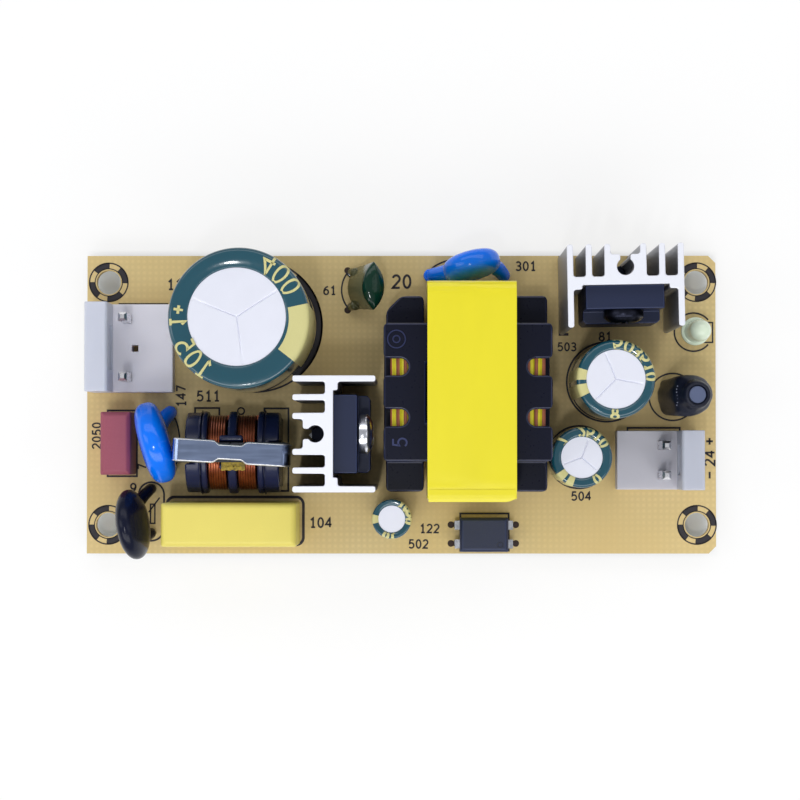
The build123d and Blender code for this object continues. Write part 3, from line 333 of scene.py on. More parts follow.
def finely(path, step):
    """The same path with points no further apart than a step."""
    walk = np.concatenate([[0], np.cumsum(np.hypot(*np.diff(path, axis=0).T))])
    spots = np.union1d(walk, np.linspace(0, walk[-1], int(walk[-1] / step) + 2))
    keep = np.concatenate([[True], np.diff(spots) > 1e-6])
    return np.stack([np.interp(spots[keep], walk, path[:, k]) for k in range(2)], 1)


def number(text, height, width, thickness):
    """Ribbons of one number, centred on the origin: a flat strip along each character's lines."""
    ribbons = []
    for place, character in enumerate(text):
        shift = [(place - len(text) / 2) * 0.86 + 0.13, -0.5]
        for line in strokes(character):
            flat = finely((line + shift) * height, STROKE_STEP)
            ribbons.append(ribbon(flat, width, 0, thickness))
    return ribbons


def node_box(node):
    """Lowest corner, highest corner and middle of a CAD node, in millimetres."""
    low, high = (np.array(corner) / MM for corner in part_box(node))
    return low, high, (low + high) / 2


def seat(piece, finish, slot, *nodes):
    """Gives a piece its finish and its body, and hides the CAD nodes that it stands for; slot is not
    used.
    """
    piece.data.materials.clear()
    piece.data.materials.append(finish)
    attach(piece, "root")
    if nodes:
        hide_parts(*nodes)
    return piece


def made(name, grids, finish, slot, *nodes, loop=False, crease=40):
    """A solid with its finish, in the place of the CAD nodes that it stands for; slot is not used."""
    return seat(solid(name, grids, loop, crease), finish, slot, *nodes)


def paint(finish, *nodes):
    """Gives CAD nodes that stay as they are a finish."""
    for node in nodes:
        carried_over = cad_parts[node]
        carried_over.data.materials.clear()
        carried_over.data.materials.append(finish)


def softened(node, name, width, upright=0.0, segments=2):
    """A merged copy of a CAD node with rounded edges; upright is the rounding of vertical edges."""
    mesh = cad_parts[node].data.copy()
    mesh.name = name
    work = bmesh.new()
    work.from_mesh(mesh)
    bmesh.ops.remove_doubles(work, verts=work.verts, dist=CAD_WELD)
    bmesh.ops.dissolve_limit(
        work, angle_limit=FLAT_ANGLE, verts=work.verts, edges=work.edges, delimit={"NORMAL"}
    )
    widest = max(width, upright)
    weights = work.edges.layers.float.new("bevel_weight_edge")
    for edge in work.edges:
        if edge.calc_face_angle(0) > EDGE_ANGLE:
            run = edge.verts[1].co - edge.verts[0].co
            vertical = abs(run.z) > 0.99 * run.length
            room = min(face.calc_area() for face in edge.link_faces) / run.length / MM
            edge[weights] = min(upright if upright and vertical else width, EDGE_ROOM * room) / widest
    work.to_mesh(mesh)
    work.free()
    mesh.shade_smooth()
    piece = linked(name, mesh)
    bevel = piece.modifiers.new("rounding", "BEVEL")
    bevel.limit_method = "WEIGHT"
    bevel.width = widest * MM
    bevel.segments = segments
    bevel.use_clamp_overlap = False
    piece.modifiers.new("shading", "WEIGHTED_NORMAL").keep_sharp = True
    return piece


def highlight_edges(piece, finish):
    """Gives the rounded edges of a piece a lighter finish of their own, as a painted highlight along
    them.
    """
    piece.data.materials.append(finish)
    piece.modifiers["rounding"].material = 1


def eased(node, name, finish, slot, *rounding):
    """Stands a softened copy of a CAD node, with its finish, in the node's place; slot is not used.
    """
    return seat(softened(node, name, *rounding), finish, slot, node)


def melted(name, grids, voxel, passes):
    """Closed surfaces flowed into one skin: a voxel mesh of their union, then smoothed."""
    piece = solid(name, grids, False, 40)
    remesh = piece.modifiers.new("melt", "REMESH")
    remesh.mode = "VOXEL"
    remesh.voxel_size = voxel * MM
    smooth = piece.modifiers.new("flow", "SMOOTH")
    smooth.factor = 0.5
    smooth.iterations = passes
    mesh = bpy.data.meshes.new_from_object(piece.evaluated_get(bpy.context.evaluated_depsgraph_get()))
    piece.modifiers.clear()
    piece.data = mesh
    mesh.shade_smooth()
    return piece


# Finishes

def scaled(base, factor):
    """A colour with every channel made lighter or darker."""
    return tuple(factor * channel for channel in base)


class Finish:
    """One procedural material: a Principled shader fed by patterns on Object coordinates."""

    def __init__(self, name, base, roughness, **constants):
        self.material = bpy.data.materials.new(name)
        self.material.use_nodes = True
        self.tree = self.material.node_tree
        self.shader = self.tree.nodes["Principled BSDF"]
        self.base = (*base, 1)
        self.feed(self.shader, [("Base Color", self.base), ("Roughness", roughness)])
        self.feed(self.shader, [(key.replace("_", " "), value) for key, value in constants.items()])
        self.place = self.add("ShaderNodeTexCoord").outputs["Object"]

    def feed(self, node, inputs):
        """Sets inputs of a node, each to a value or from another node's output."""
        for key, value in inputs:
            if isinstance(value, bpy.types.NodeSocket):
                self.tree.links.new(value, node.inputs[key])
            else:
                node.inputs[key].default_value = value

    def add(self, kind, inputs=(), **settings):
        """A node with its settings and its inputs."""
        node = self.tree.nodes.new(kind)
        for key, value in settings.items():
            setattr(node, key, value)
        self.feed(node, inputs)
        return node

    def sum(self, operation, first, second=0.0):
        """One arithmetic step."""
        return self.add("ShaderNodeMath", [(0, first), (1, second)], operation=operation).outputs[0]

    def axes(self):
        """The three Object coordinates, in metres."""
        return self.add("ShaderNodeSeparateXYZ", [(0, self.place)]).outputs

    def noise(self, per_millimetre, detail=3.0, stretch=(1, 1, 1)):
        """Noise with about so many grains to a millimetre, drawn out along an axis by stretch."""
        drawn = self.add("ShaderNodeMapping", [("Vector", self.place), ("Scale", stretch)])
        inputs = [("Vector", drawn.outputs[0]), ("Scale", per_millimetre / MM), ("Detail", detail)]
        return self.add("ShaderNodeTexNoise", inputs).outputs["Fac"]

    def waves(self, pitch, axis, distortion=0.0):
        """Bands across an axis, one to each pitch in millimetres."""
        scale = TAU / (20 * pitch * MM)
        inputs = [("Vector", self.place), ("Scale", scale), ("Distortion", distortion)]
        return self.add("ShaderNodeTexWave", inputs, bands_direction=axis).outputs["Fac"]

    def steps(self, factor, low, high):
        """A factor that goes from 0 to 1 between two values of the one given."""
        return self.span(factor, 0.0, 1.0, low, high)

    def span(self, factor, low, high, start=0.0, end=1.0):
        """A value that goes from low to high as a factor goes from its start to its end."""
        inputs = [("From Min", start), ("From Max", end), ("To Min", low), ("To Max", high)]
        return self.add("ShaderNodeMapRange", [("Value", factor), *inputs]).outputs[0]

    def mix(self, factor, first, second):
        """A colour between two colours."""
        inputs = [(0, factor), (6, first), (7, second)]
        return self.add("ShaderNodeMix", inputs, data_type="RGBA").outputs[2]

    def shade(self, factor):
        """The base colour made lighter or darker."""
        return tuple(min(channel * factor, 1) for channel in self.base[:3]) + (1,)

    def cast(self, *scales):
        """The base colour with each of its channels scaled."""
        return tuple(channel * scale for channel, scale in zip(self.base, (*scales, 1)))

    def colour(self, output):
        """Feeds the base colour."""
        self.feed(self.shader, [("Base Color", output)])

    def clouds(self, factor, low, high):
        """The base colour, from one shade of it to another as a factor goes from 0 to 1."""
        self.colour(self.mix(factor, self.shade(low), self.shade(high)))

    def roughness(self, factor, low, high):
        """Roughness between two values as a factor goes from 0 to 1."""
        self.feed(self.shader, [("Roughness", self.span(factor, low, high))])

    def relief(self, *heights):
        """Bumps, each a height pattern with its depth in millimetres, and the finished material."""
        normal = None
        for height, depth in heights:
            inputs = [("Height", height), ("Distance", depth * MM), ("Strength", 1.0)]
            if normal:
                inputs.append(("Normal", normal))
            normal = self.add("ShaderNodeBump", inputs).outputs[0]
        self.feed(self.shader, [("Normal", normal)])
        return self.material


MOULDINGS = {
    # name: look or colour, its scale, roughness, grains to a millimetre, spread of its shades,
    # depth of the grain, how much it mirrors (0.5 is common plastic)
    "printing ink": ("board.ink", 1, 0.6, 12, 0.2, 0.002, 0.5),
    # painted shade: dark colour for the discs over the holes beside some leads
    "drilled laminate": (tint(52, 34, 26), 1, 0.7, 6, 0.12, 0.002, 0.5),
    "lacquered tracks": ("board.track", 1, 0.28, 4, 0.08, 0.002, 0.5),
    "fuse case": ("hardware.fuse", 1, 0.55, 4, 0.1, 0.02, 0.5),
    "blue dip": ("capacitor.varistor", 1, 0.13, 1.2, 0.08, 0.003, 0.4),
    "black dip": ("capacitor.thermistor", 1, 0.2, 1.2, 0.1, 0.003, 0.2),
    "yellow box": ("capacitor.boxed", 1, 0.42, 5, 0.05, 0.006, 0.5),
    "sleeve": ("capacitor.sleeve", 1, 0.14, 1.5, 0.08, 0.003, 0.5),
    "sleeve print": ("capacitor.sleeve_print", 1, 0.35, 8, 0.06, 0.002, 0.5),
    "choke bobbin": ("wound.bobbin", 3.6, 0.22, 3, 0.1, 0.001, 0.4),
    "transformer bobbin": ("wound.bobbin", 1, 0.3, 2.5, 0.08, 0.001, 0.2),
    # painted highlight: lighter colour for the transformer bobbin's rounded edges
    "bobbin edges": ("wound.bobbin", 3.2, 0.3, 6, 0.12, 0.002, 0.5),
    # painted highlight: the raised marks are coloured far lighter than the bobbin
    "bobbin marks": ("wound.bobbin", 7, 0.3, 6, 0.12, 0.002, 0.5),
    "ferrite": ("wound.ferrite", 1, 0.5, 8, 0.12, 0.004, 0.5),
    "core ferrite": ("wound.ferrite", 1, 0.5, 8, 0.12, 0.004, 0.5),
    "shrink tube": ("wound.shrink", 1, 0.36, 1.5, 0.15, 0.006, 0.25),
    # painted highlight: pale beads for light caught along a ridge of the tube
    "shrink tube marks": (tint(120, 126, 146), 1, 0.5, 6, 0.12, 0.002, 0.5),
    "rod core": ("wound.rod", 1, 0.5, 8, 0.08, 0.003, 0.5),
    "package moulding": ("hardware.package", 1, 0.4, 7, 0.1, 0.003, 0.35),
    # painted highlight: lighter colour for the packages' rounded edges
    "package edges": ("hardware.package", 1.8, 0.4, 6, 0.12, 0.002, 0.5),
    "coupler moulding": ("hardware.package", 1, 0.5, 9, 0.12, 0.003, 0.5),
    # painted highlight: lighter colour for the coupler's rounded edges
    "coupler edges": ("hardware.package", 1.5, 0.4, 6, 0.12, 0.002, 0.5),
    "coupler mark": ("hardware.package", 0.5, 0.4, 6, 0.12, 0.002, 0.5),
    "chip moulding": ("hardware.package", 0.5, 0.5, 8, 0.1, 0.005, 0.5),
    "chip ceramic": (tint(70, 60, 55), 1, 0.4, 8, 0.15, 0.005, 0.5),
}


def look(path):
    """The value of a look, given as its group and its name."""
    group, field = path.split(".")
    return getattr(getattr(bpy.context.scene, group + "_looks"), field)


def moulded(name, **constants):
    """Plastic or coating: fine grain in its relief, broad change in its colour and gloss."""
    base, scale, roughness, grain, spread, depth, mirror = MOULDINGS[name]
    base = scaled(look(base) if isinstance(base, str) else base, scale)
    finish = Finish(name, base, roughness, Specular_IOR_Level=mirror, **constants)
    fine = finish.noise(grain, 4)
    clouds = finish.mix(finish.noise(0.25, 2), finish.shade(1 - spread), finish.shade(1 + spread))
    finish.colour(finish.mix(finish.steps(fine, 0.35, 0.75), clouds, finish.shade(1 - spread / 2)))
    finish.roughness(fine, max(roughness - 0.08, 0), min(roughness + 0.08, 1))
    return finish.relief((fine, depth))


def metal(name, base, roughness=0.3, stretch=(1, 1, 1), grain=3.0, depth=0.003, **constants):
    """Metal: its grain is drawn out along an axis by stretch, and its gloss follows it."""
    finish = Finish(name, base, roughness, Metallic=1.0, **constants)
    streaks = finish.noise(grain, 4, stretch)
    finish.clouds(finish.steps(finish.noise(0.4, 2), 0.3, 0.7), 0.9, 1.04)
    finish.roughness(streaks, max(roughness - 0.1, 0.02), roughness + 0.12)
    return finish.relief((streaks, depth))


def sawn_metal(name, base, top, roughness=0.4):
    """Extruded aluminium: bright where it is sawn off at the top, streaked below, where its sides are
    painted much darker as painted shade.
    """
    finish = Finish(name, base, roughness, Metallic=0.2)
    streaks = finish.noise(5, 4, (1, 1, 0.03))
    # painted shade: the extruded sides are coloured at a third to a half of the base, for faces that
    # turn away from the lights
    sides = finish.mix(streaks, finish.shade(0.32), finish.shade(0.48))
    ends = finish.mix(finish.noise(9, 3), finish.shade(0.94), finish.shade(1.0))
    sawn = finish.steps(finish.axes()[2], (top - 0.14) * MM, (top - 0.06) * MM)
    finish.colour(finish.mix(sawn, sides, ends))
    finish.feed(finish.shader, [("Metallic", finish.span(sawn, 0.85, 0.2))])
    finish.roughness(streaks, roughness - 0.08, roughness + 0.1)
    return finish.relief((streaks, 0.003))


def nylon_finish(nylon):
    """Milky nylon: the thin seat takes a lighter, tan cast as painted light through it, and the
    header at +X is painted darker as painted shade.
    """
    finish = Finish(
        "header nylon", nylon, 0.42,
        Subsurface_Weight=0.3, Subsurface_Radius=(1.0, 0.9, 0.8), Subsurface_Scale=0.002,
    )
    thin = finish.steps(finish.axes()[2], 0.0051, 0.0048)
    # painted light: the thin seat is coloured lighter and tan, for light coming through the thin
    # nylon from the board
    lit_seat = finish.cast(1.42, 1.3, 1.2)
    wall = finish.mix(finish.noise(0.4, 2), finish.shade(0.97), finish.shade(1.02))
    # painted shade: at +X both wall and seat are coloured darker
    shaded_output = finish.mix(thin, finish.shade(0.84), scaled(lit_seat[:3], 0.74) + (1,))
    at_output = finish.steps(finish.axes()[0], 0.0, 0.01)
    finish.colour(finish.mix(at_output, finish.mix(thin, wall, lit_seat), shaded_output))
    finish.roughness(finish.noise(5, 3), 0.36, 0.5)
    return finish.relief((finish.noise(5, 3), 0.002))


def film_finish(green, tilt, foot, edge):
    """Green dip: dense over the cap, thin and olive down the sides below the edge.

    The height along the leaning body is x sin(tilt) + z cos(tilt) from its foot.
    """
    finish = Finish("green dip", green, 0.12, Specular_IOR_Level=0.35)
    x, _, z = finish.axes()
    along_x = finish.sum("MULTIPLY", finish.sum("SUBTRACT", x, foot[0] * MM), math.sin(tilt))
    along_z = finish.sum("MULTIPLY", finish.sum("SUBTRACT", z, foot[2] * MM), math.cos(tilt))
    along = finish.sum("ADD", along_x, along_z)
    low_olive, high_olive = (0.085, 0.08, 0.03, 1), (0.1, 0.12, 0.07, 1)
    olive = finish.mix(finish.steps(along, 0.0, edge * MM), low_olive, high_olive)
    cap = finish.mix(finish.noise(0.8, 3), finish.shade(0.8), finish.shade(1.2))
    finish.colour(finish.mix(finish.steps(along, (edge - 0.25) * MM, edge * MM), olive, cap))
    finish.roughness(finish.noise(1.5, 2), 0.08, 0.18)
    return finish.relief((finish.noise(0.9, 2), 0.05))


def board_finish(looks):
    """Tan laminate with a fine weave above, and green lacquer below."""
    finish = Finish("laminate", looks.laminate, 0.5)
    threads = [finish.waves(looks.weave_pitch / MM, axis, 0.3) for axis in "XY"]
    weave = finish.sum("MULTIPLY", *threads)
    thread = finish.mix(weave, finish.shade(0.91), finish.shade(1.04))
    cloud = finish.steps(finish.noise(0.05, 3), 0.3, 0.75)
    face = finish.mix(cloud, thread, finish.cast(0.9, 0.84, 0.72))
    speck = finish.steps(finish.noise(3, 2), 0.62, 0.8)
    face = finish.mix(finish.sum("MULTIPLY", speck, 0.25), face, finish.shade(0.72))
    lacquer = finish.mix(finish.noise(0.3, 3), (*looks.mask, 1), (*scaled(looks.mask, 0.7), 1))
    below = finish.steps(finish.axes()[2], 0.00006, 0.00002)
    finish.colour(finish.mix(below, face, lacquer))
    finish.roughness(finish.noise(2, 3), 0.4, 0.6)
    return finish.relief((weave, 0.006), (finish.noise(8, 3), 0.004))


def can_finish(looks):
    """Bright pressed aluminium with a faint grain."""
    finish = Finish("can aluminium", looks.can, 0.45, Metallic=0.2)
    grain = finish.noise(14, 3)
    finish.clouds(finish.noise(0.3, 2), 0.96, 1.03)
    finish.roughness(grain, 0.36, 0.5)
    return finish.relief((grain, 0.002))


def copper_finish(looks):
    """Enamelled copper wire, darker and redder in patches."""
    finish = Finish("copper wire", looks.copper, 0.28, Metallic=0.8, Coat_Weight=0.3)
    patches = finish.steps(finish.noise(0.7, 3), 0.35, 0.7)
    finish.colour(finish.mix(patches, finish.shade(1.1), finish.cast(0.55, 0.4, 0.34)))
    return finish.relief((finish.noise(5, 2), 0.004))


def tape_finish(looks):
    """Thin film tape with long faint creases, coloured darker in their hollows as painted shade."""
    finish = Finish("core tape", looks.tape, 0.34, Coat_Weight=0.15)
    creases = finish.noise(0.25, 4, (1, 0.35, 1))
    weave = finish.noise(10, 2)
    # painted shade: the colour follows the creases' relief, darker in the hollows
    finish.clouds(creases, 0.93, 1.03)
    finish.roughness(weave, 0.28, 0.42)
    return finish.relief((creases, looks.creases / MM * 0.5), (weave, 0.002))


def shaded_tab_finish():
    """Tape of the tab, painted darker than the core tape as painted shade under the clip, and brown
    in patches.
    """
    # painted shade: a darker yellow-brown than the core tape, for the tab lying partly under the clip
    finish = Finish("aged tape", tint(176, 150, 38), 0.4)
    stain = finish.steps(finish.noise(1.6, 4), 0.42, 0.62)
    finish.colour(finish.mix(stain, finish.base, finish.shade(0.35)))
    return finish.relief((finish.noise(3, 3), 0.03))


def winding_finish(looks):
    """The wound end of the transformer coil: layers of wire and tape, one outside the other."""
    finish = Finish("coil layers", looks.tape, 0.35, Coat_Weight=0.2)
    layers = finish.waves(1.0, "X", 0.6)
    wires = finish.waves(0.45, "X", 0.3)
    wire = finish.mix(wires, (*looks.copper, 1), (0.25, 0.06, 0.03, 1))
    finish.colour(finish.mix(finish.steps(layers, 0.45, 0.6), finish.shade(0.95), wire))
    return finish.relief((wires, 0.06), (layers, 0.1))


def translucent(name, base):
    """Tinted diffusing resin."""
    finish = Finish(name, base, 0.14, Transmission_Weight=0.05, IOR=1.5, Coat_Weight=0.4)
    finish.clouds(finish.noise(0.8, 2), 0.92, 1.05)
    return finish.relief((finish.noise(3, 2), 0.004))


# Printed outlines on the board

INK_LINES = (
    # path, width in millimetres, closed
    (((-38.66, 13.53), (-31.9, 13.53)), 0.22, False),
    (((-36.1, -0.95), (-40.1, -0.95), (-40.1, -9.9), (-36.1, -9.9)), 0.2, True),
    (((-28.2, -2.2), (-28.2, -0.62), (-24.9, -0.62), (-24.9, -2.2)), 0.2, False),
    (((-18.75, -2.2), (-18.75, -0.67), (-15.5, -0.67), (-15.5, -11.9), (-17.6, -11.9)), 0.2, False),
    (((-34.25, -13.7), (-33.65, -13.7), (-33.65, -16.3), (-34.25, -16.3)), 0.16, True),
    (((-34.5, -14.8), (-33.0, -12.8)), 0.16, False),
    (((30.6, -4.2), (30.6, -3.32), (37.7, -3.32), (37.7, -4.2)), 0.2, False),
    (((7.87, -14.95), (14.44, -14.95), (14.44, -20.0), (7.87, -20.0)), 0.2, True),
    (((-7.45, 15.62), (-7.0, 15.62)), 0.12, False),
    (((-7.45, 15.9), (-7.0, 15.9)), 0.12, False),
    (((23.0, 19.9), (21.45, 19.9), (21.45, 9.4), (22.6, 9.4)), 0.3, False),
    (((41.0, 11.0), (42.2, 11.0), (42.2, 8.3), (41.0, 8.3)), 0.16, False),
)


INK_ARCS = (
    # x, y, reach along X, reach along Y, start, end, points, width, closed
    (-19.94, 10.58, 9.0, 9.0, 0, 354, 120, 0.2, True),
    (-19.94, 10.58, 8.65, 8.65, -53, 51, 60, 0.9, False),
    (27.76, 2.92, 5.4, 5.4, 0, 354, 96, 0.2, True),
    (24.0, -7.3, 4.25, 4.25, 0, 354, 72, 0.18, True),
    (39.6, 9.7, 2.6, 2.6, 40, 320, 60, 0.18, False),
    (36.75, 0.88, 3.2, 3.2, 0, 354, 72, 0.18, True),
    (-4.41, 15.45, 3.86, 3.86, 135, 225, 24, 0.18, False),
    (8.95, 17.3, 5.45, 5.45 * 0.46, 0, 354, 72, 0.18, True),
    (-32.2, -5.3, 1.9, 1.9 * 2.3, 0, 354, 60, 0.18, True),
    (-21.95, -1.03, 0.45, 0.45, 0, 345, 24, 0.16, True),
)


def ink_paths():
    """Every printed path with its width and whether it closes, fixing rings among them."""
    paths = [(np.array(path, float), width, closed) for path, width, closed in INK_LINES]
    paths += [(arc(*sizes), width, closed) for *sizes, width, closed in INK_ARCS]
    paths.append((rounded(-32.0, -19.2, -13.45, -12.72, 1.0), 0.3, True))
    paths.append((rounded(-35.85, -18.66, -32.4, -10.7, 1.7), 0.2, True))
    for x in (-40, 40):
        for y in (-16.5, 16.5):
            for radius, width in ((2.62, 0.14), (1.86, 0.1)):
                paths.append((arc(x, y, radius, radius, 0, 354, 64), width, True))
            for at in (24, 114, 206, 292):
                paths.append((arc(x, y, 2.24, 2.24, at - 27, at + 27), 0.78, False))
    return paths


NUMBERS = (
    # text, height, (x, y, turn)
    ("511", 1.3, (-26.4, 1.0, 0)), ("147", 1.2, (-30.1, 1.0, 90)), ("2050", 1.1, (-41.6, -4.4, 90)),
    ("61", 1.1, (-9.9, 15.4, 0)), ("20", 1.7, (-0.1, 16.6, 0)), ("301", 1.15, (16.8, 18.7, 0)),
    ("81", 1.1, (27.6, 9.1, 0)), ("503", 1.05, (22.4, 7.7, 0)), ("504", 1.1, (24.3, -12.6, 0)),
    ("502", 1.1, (2.2, -19.1, 0)), ("122", 1.1, (3.7, -17.0, 0)), ("104", 1.25, (-11.1, -16.2, 0)),
    ("11", 1.3, (-31.0, 16.2, 0)), ("7", 1.1, (-35.4, -8.6, 90)), ("9", 1.2, (-36.6, -11.5, 0)),
    ("+", 1.5, (41.75, -5.15, 0)), ("24", 1.35, (41.75, -7.45, 90)), ("-", 1.5, (41.75, -9.75, 90)),
)


# places of the dark discs of painted shade over holes beside leads
HOLES = ((6.6, -16.48), (6.6, -19.02), (15.4, -16.48), (15.4, -19.02), (-7.45, 18.1), (-7.45, 12.7))
BROAD_LINE = 0.5


def on_board(grid, x, y, turn, height=BOARD_TOP):
    """Ribbons turned and set on a level face."""
    cos, sin = math.cos(math.radians(turn)), math.sin(math.radians(turn))
    along, up, rise = np.moveaxis(grid, -1, 0)
    return np.stack([x + along * cos - up * sin, y + along * sin + up * cos, height + rise], -1)


class SUPPLY_OT_board(bpy.types.Operator):
    """Finishes the board and prints its outlines, fixing rings and plain numbers"""

    bl_idname = "supply.board"
    bl_label = "Board and print"

    def execute(self, context):
        looks = context.scene.board_looks
        paint(board_finish(looks), "circuit_board")
        ink = moulded("printing ink")
        thickness = looks.ink_thickness / MM
        strips = {False: [], True: []}
        for path, width, closed in ink_paths():
            width *= 1.0 if width > BROAD_LINE else looks.line_weight
            strips[closed].append(ribbon(path, width, 0, thickness, BOARD_TOP, closed))
        made("print_lines", strips[False], ink, "board", crease=30)
        made("print_loops", strips[True], ink, "board", loop=True, crease=30)
        ribbons = [
            on_board(strip, *place) for text, height, place in NUMBERS
            for strip in number(text, height, 0.15 * height + 0.05, thickness)
        ]
        made("print_numbers", ribbons, ink, "board", crease=30)
        # painted shade: a dark disc over each hole beside a lead, where the hole shows only shade
        rim = [(0.01, 0), (0.46, 0), (0.46, 0.02), (0.01, 0.02)]
        holes = [revolved(rim, (x, y, BOARD_TOP), 24) for x, y in HOLES]
        made("drilled_hole_rims", holes, moulded("drilled laminate"), "board", loop=True)
        return {"FINISHED"}


# Headers

HEADER_PINS = ((-37.05, 11.34), (-37.05, 3.42), (35.0, -5.72), (35.0, -9.68))


class SUPPLY_OT_headers(bpy.types.Operator):
    """Rounds both headers and finishes their nylon and pins"""

    bl_idname = "supply.headers"
    bl_label = "Headers"

    def execute(self, context):
        nylon = nylon_finish(look("hardware.nylon"))
        for node in ("input_header", "output_header"):
            eased(node, node + "_moulding", nylon, "nylon", look("hardware.edge") / MM)
        tinned = metal("header pins", look("board.pins"), 0.28, stretch=(1, 1, 0.1))
        half, narrowing, point, top = 0.57, 0.3, 0.42, 11.3
        profile = np.array([(half, 0.0), (half, top - point), (half - narrowing, top)])
        ring = profile[:, None, :1] * np.array([(1, 1), (-1, 1), (-1, -1), (1, -1)])
        rise = np.broadcast_to(profile[:, None, 1:], (3, 4, 1))
        blades = [np.concatenate([ring + place, rise], -1) for place in HEADER_PINS]
        made("header_pin_blades", blades, tinned, "tinned_lead", "header_pins", crease=20)
        return {"FINISHED"}


# Fuse

class SUPPLY_OT_fuse(bpy.types.Operator):
    """Rounds the fuse case and gives it a finely textured moulding"""

    bl_idname = "supply.fuse"
    bl_label = "Fuse"

    def execute(self, context):
        eased("fuse_body", "fuse_case", moulded("fuse case"), "fuse", 0.18)
        return {"FINISHED"}


# Dipped parts

def pebble(radius, thickness, across, up, centre, fullness, steps=72):
    """A dipped disc: radius times sin^p of latitude round, half thickness times cos^q across.

    p is 0.95 - 0.4 fullness and q is 1 - 0.25 fullness, so that a fuller disc has a blunter rim.
    across is the direction through its faces, and up is a direction in its plane.
    """
    across = np.array(across, float) / np.linalg.norm(across)
    up = np.array(up, float)
    up -= across * up.dot(across)
    up /= np.linalg.norm(up)
    side = np.cross(up, across)
    latitude = np.linspace(0, math.pi, steps // 2)[:, None]
    angle = round_angles(steps)
    spread = radius * np.sin(latitude) ** (0.95 - 0.4 * fullness)
    cos = np.cos(latitude)
    depth = thickness / 2 * np.sign(cos) * np.abs(cos) ** (1 - 0.25 * fullness)
    return (
        np.asarray(centre, float)
        + (spread * np.cos(angle))[..., None] * side
        + (spread * np.sin(angle))[..., None] * up
        + (depth + 0 * angle)[..., None] * across
    )


def leg(path, radii, steps=14):
    """A coated leg through the given points: its width follows the radii and closes as an oval."""
    path = np.asarray(path, float)
    share = (1 - np.cos(np.linspace(0, math.pi, 22))) / 2
    along = share * (len(path) - 1)
    spots = np.stack([np.interp(along, np.arange(len(path)), path[:, k]) for k in range(3)], 1)
    spots[1:-1] = (spots[:-2] + 2 * spots[1:-1] + spots[2:]) / 4
    end = np.clip(1 - np.minimum(share, 1 - share) / 0.14, 0, 1)
    width = np.interp(along, np.arange(len(path)), radii) * np.sqrt(1 - 0.999 * end ** 2)
    grid = carried(spots, circle(1.0, steps))
    return spots[:, None] + (grid - spots[:, None]) * width[:, None, None]


DISCS = (
    # name, slot, x, y, diameter, thickness, pitch, height, lean, offset, slide, turn, leads along Y,
    # fullness, gather: how far out the legs end inside the disc, as a share of the diameter
    ("varistor", "blue_dip", -31.5, -5.0, 10.9, 4.0, 7.5, 7.9, -2.5, 1.36, 0.0, 106.0, True,
     1.0, 0.12),
    ("thermistor", "black_dip", -34.1, -14.6, 9.3, 3.4, 6.0, 7.3, 11.0, 1.95, -1.35, 99.0, True,
     0.35, 0.2),
    ("y_capacitor", "blue_dip", 8.75, 17.35, 7.7, 3.5, 10.0, 6.6, 8.0, 0.75, 0.75, 15.0, False,
     0.9, 0.3),
)
LEG_RADII = (0.9, 0.98, 1.1, 1.3)
LEG_FOOT = 0.35
LEG_STRAIGHT = 0.7
LEG_END = 0.26
KNEE_SHARE = 0.45
KNEE_OUT = 0.25


def dipped_disc(
    name, x, y, diameter, thickness, pitch, height, lean, offset, slide, turn, along_y,
    fullness, gather,
):
    """A leaning dipped disc flowed together with its two coated legs."""
    turn, lean = math.radians(turn), math.radians(lean)
    run = np.array([math.cos(turn), math.sin(turn), 0])
    sideways = np.array([-math.sin(turn), math.cos(turn), 0])
    middle = np.array([x, y, BOARD_TOP + height]) + run * slide + sideways * offset
    across = sideways * math.cos(lean) - np.array([0, 0, math.sin(lean)])
    grids = [pebble(diameter / 2 + 0.05, thickness, across, (0, 0, 1), middle, fullness)]
    foot_run = np.array([0, 1.0, 0]) if along_y else np.array([1.0, 0, 0])
    for side in (-1, 1):
        foot = np.array([x, y, BOARD_TOP + LEG_FOOT]) + foot_run * side * pitch / 2
        inside = middle + run * side * diameter * gather - np.array([0, 0, diameter * LEG_END])
        knee = foot * (1 - KNEE_SHARE) + inside * KNEE_SHARE + run * side * KNEE_OUT
        knee[2] = (foot[2] + inside[2]) / 2
        radii = np.array(LEG_RADII) * (0.68 + 0.32 * fullness)
        grids.append(leg([foot - [0, 0, 0.3], foot + [0, 0, LEG_STRAIGHT], knee, inside], radii))
    return melted(name, grids, voxel=0.13, passes=14)


def dipped_pillow(foot, tilt, length):
    """A pressed film roll: each level is a lens of half thickness t(1 - |s|^2.2) across its width.

    Up the body the half width grows from 2.85 to 3.3 mm and the half thickness from 1.35 to 1.58 mm.
    Both close over the top and bottom as a quarter of an oval, and the body tilts to +X.
    """
    rise = np.concatenate([
        np.linspace(0, 0.05, 8), np.linspace(0.08, 0.88, 20), np.linspace(0.89, 1, 12),
    ])[:, None]
    end = np.clip(np.maximum((rise - 0.88) / 0.12, (0.05 - rise) / 0.05), 0, 1)
    closing = np.sqrt(1 - 0.995 * end ** 2)
    wide = (2.85 + 0.45 * rise) * (0.45 + 0.55 * closing)
    thick = (1.35 + 0.23 * rise) * closing
    turn = round_angles(96)
    beside = wide * np.cos(turn)
    through = thick * np.sign(np.sin(turn)) * (1 - np.abs(np.cos(turn)) ** 2.2)
    up = length * rise
    sin, cos = math.sin(tilt), math.cos(tilt)
    return foot + np.stack([up * sin + through * cos, beside, up * cos - through * sin], -1)


FILM_FOOT = np.array([-6.3, 15.6, BOARD_TOP + 0.9])
FILM_TILT = math.radians(25)
FILM_LENGTH = 6.6
FILM_CAP = 1.0


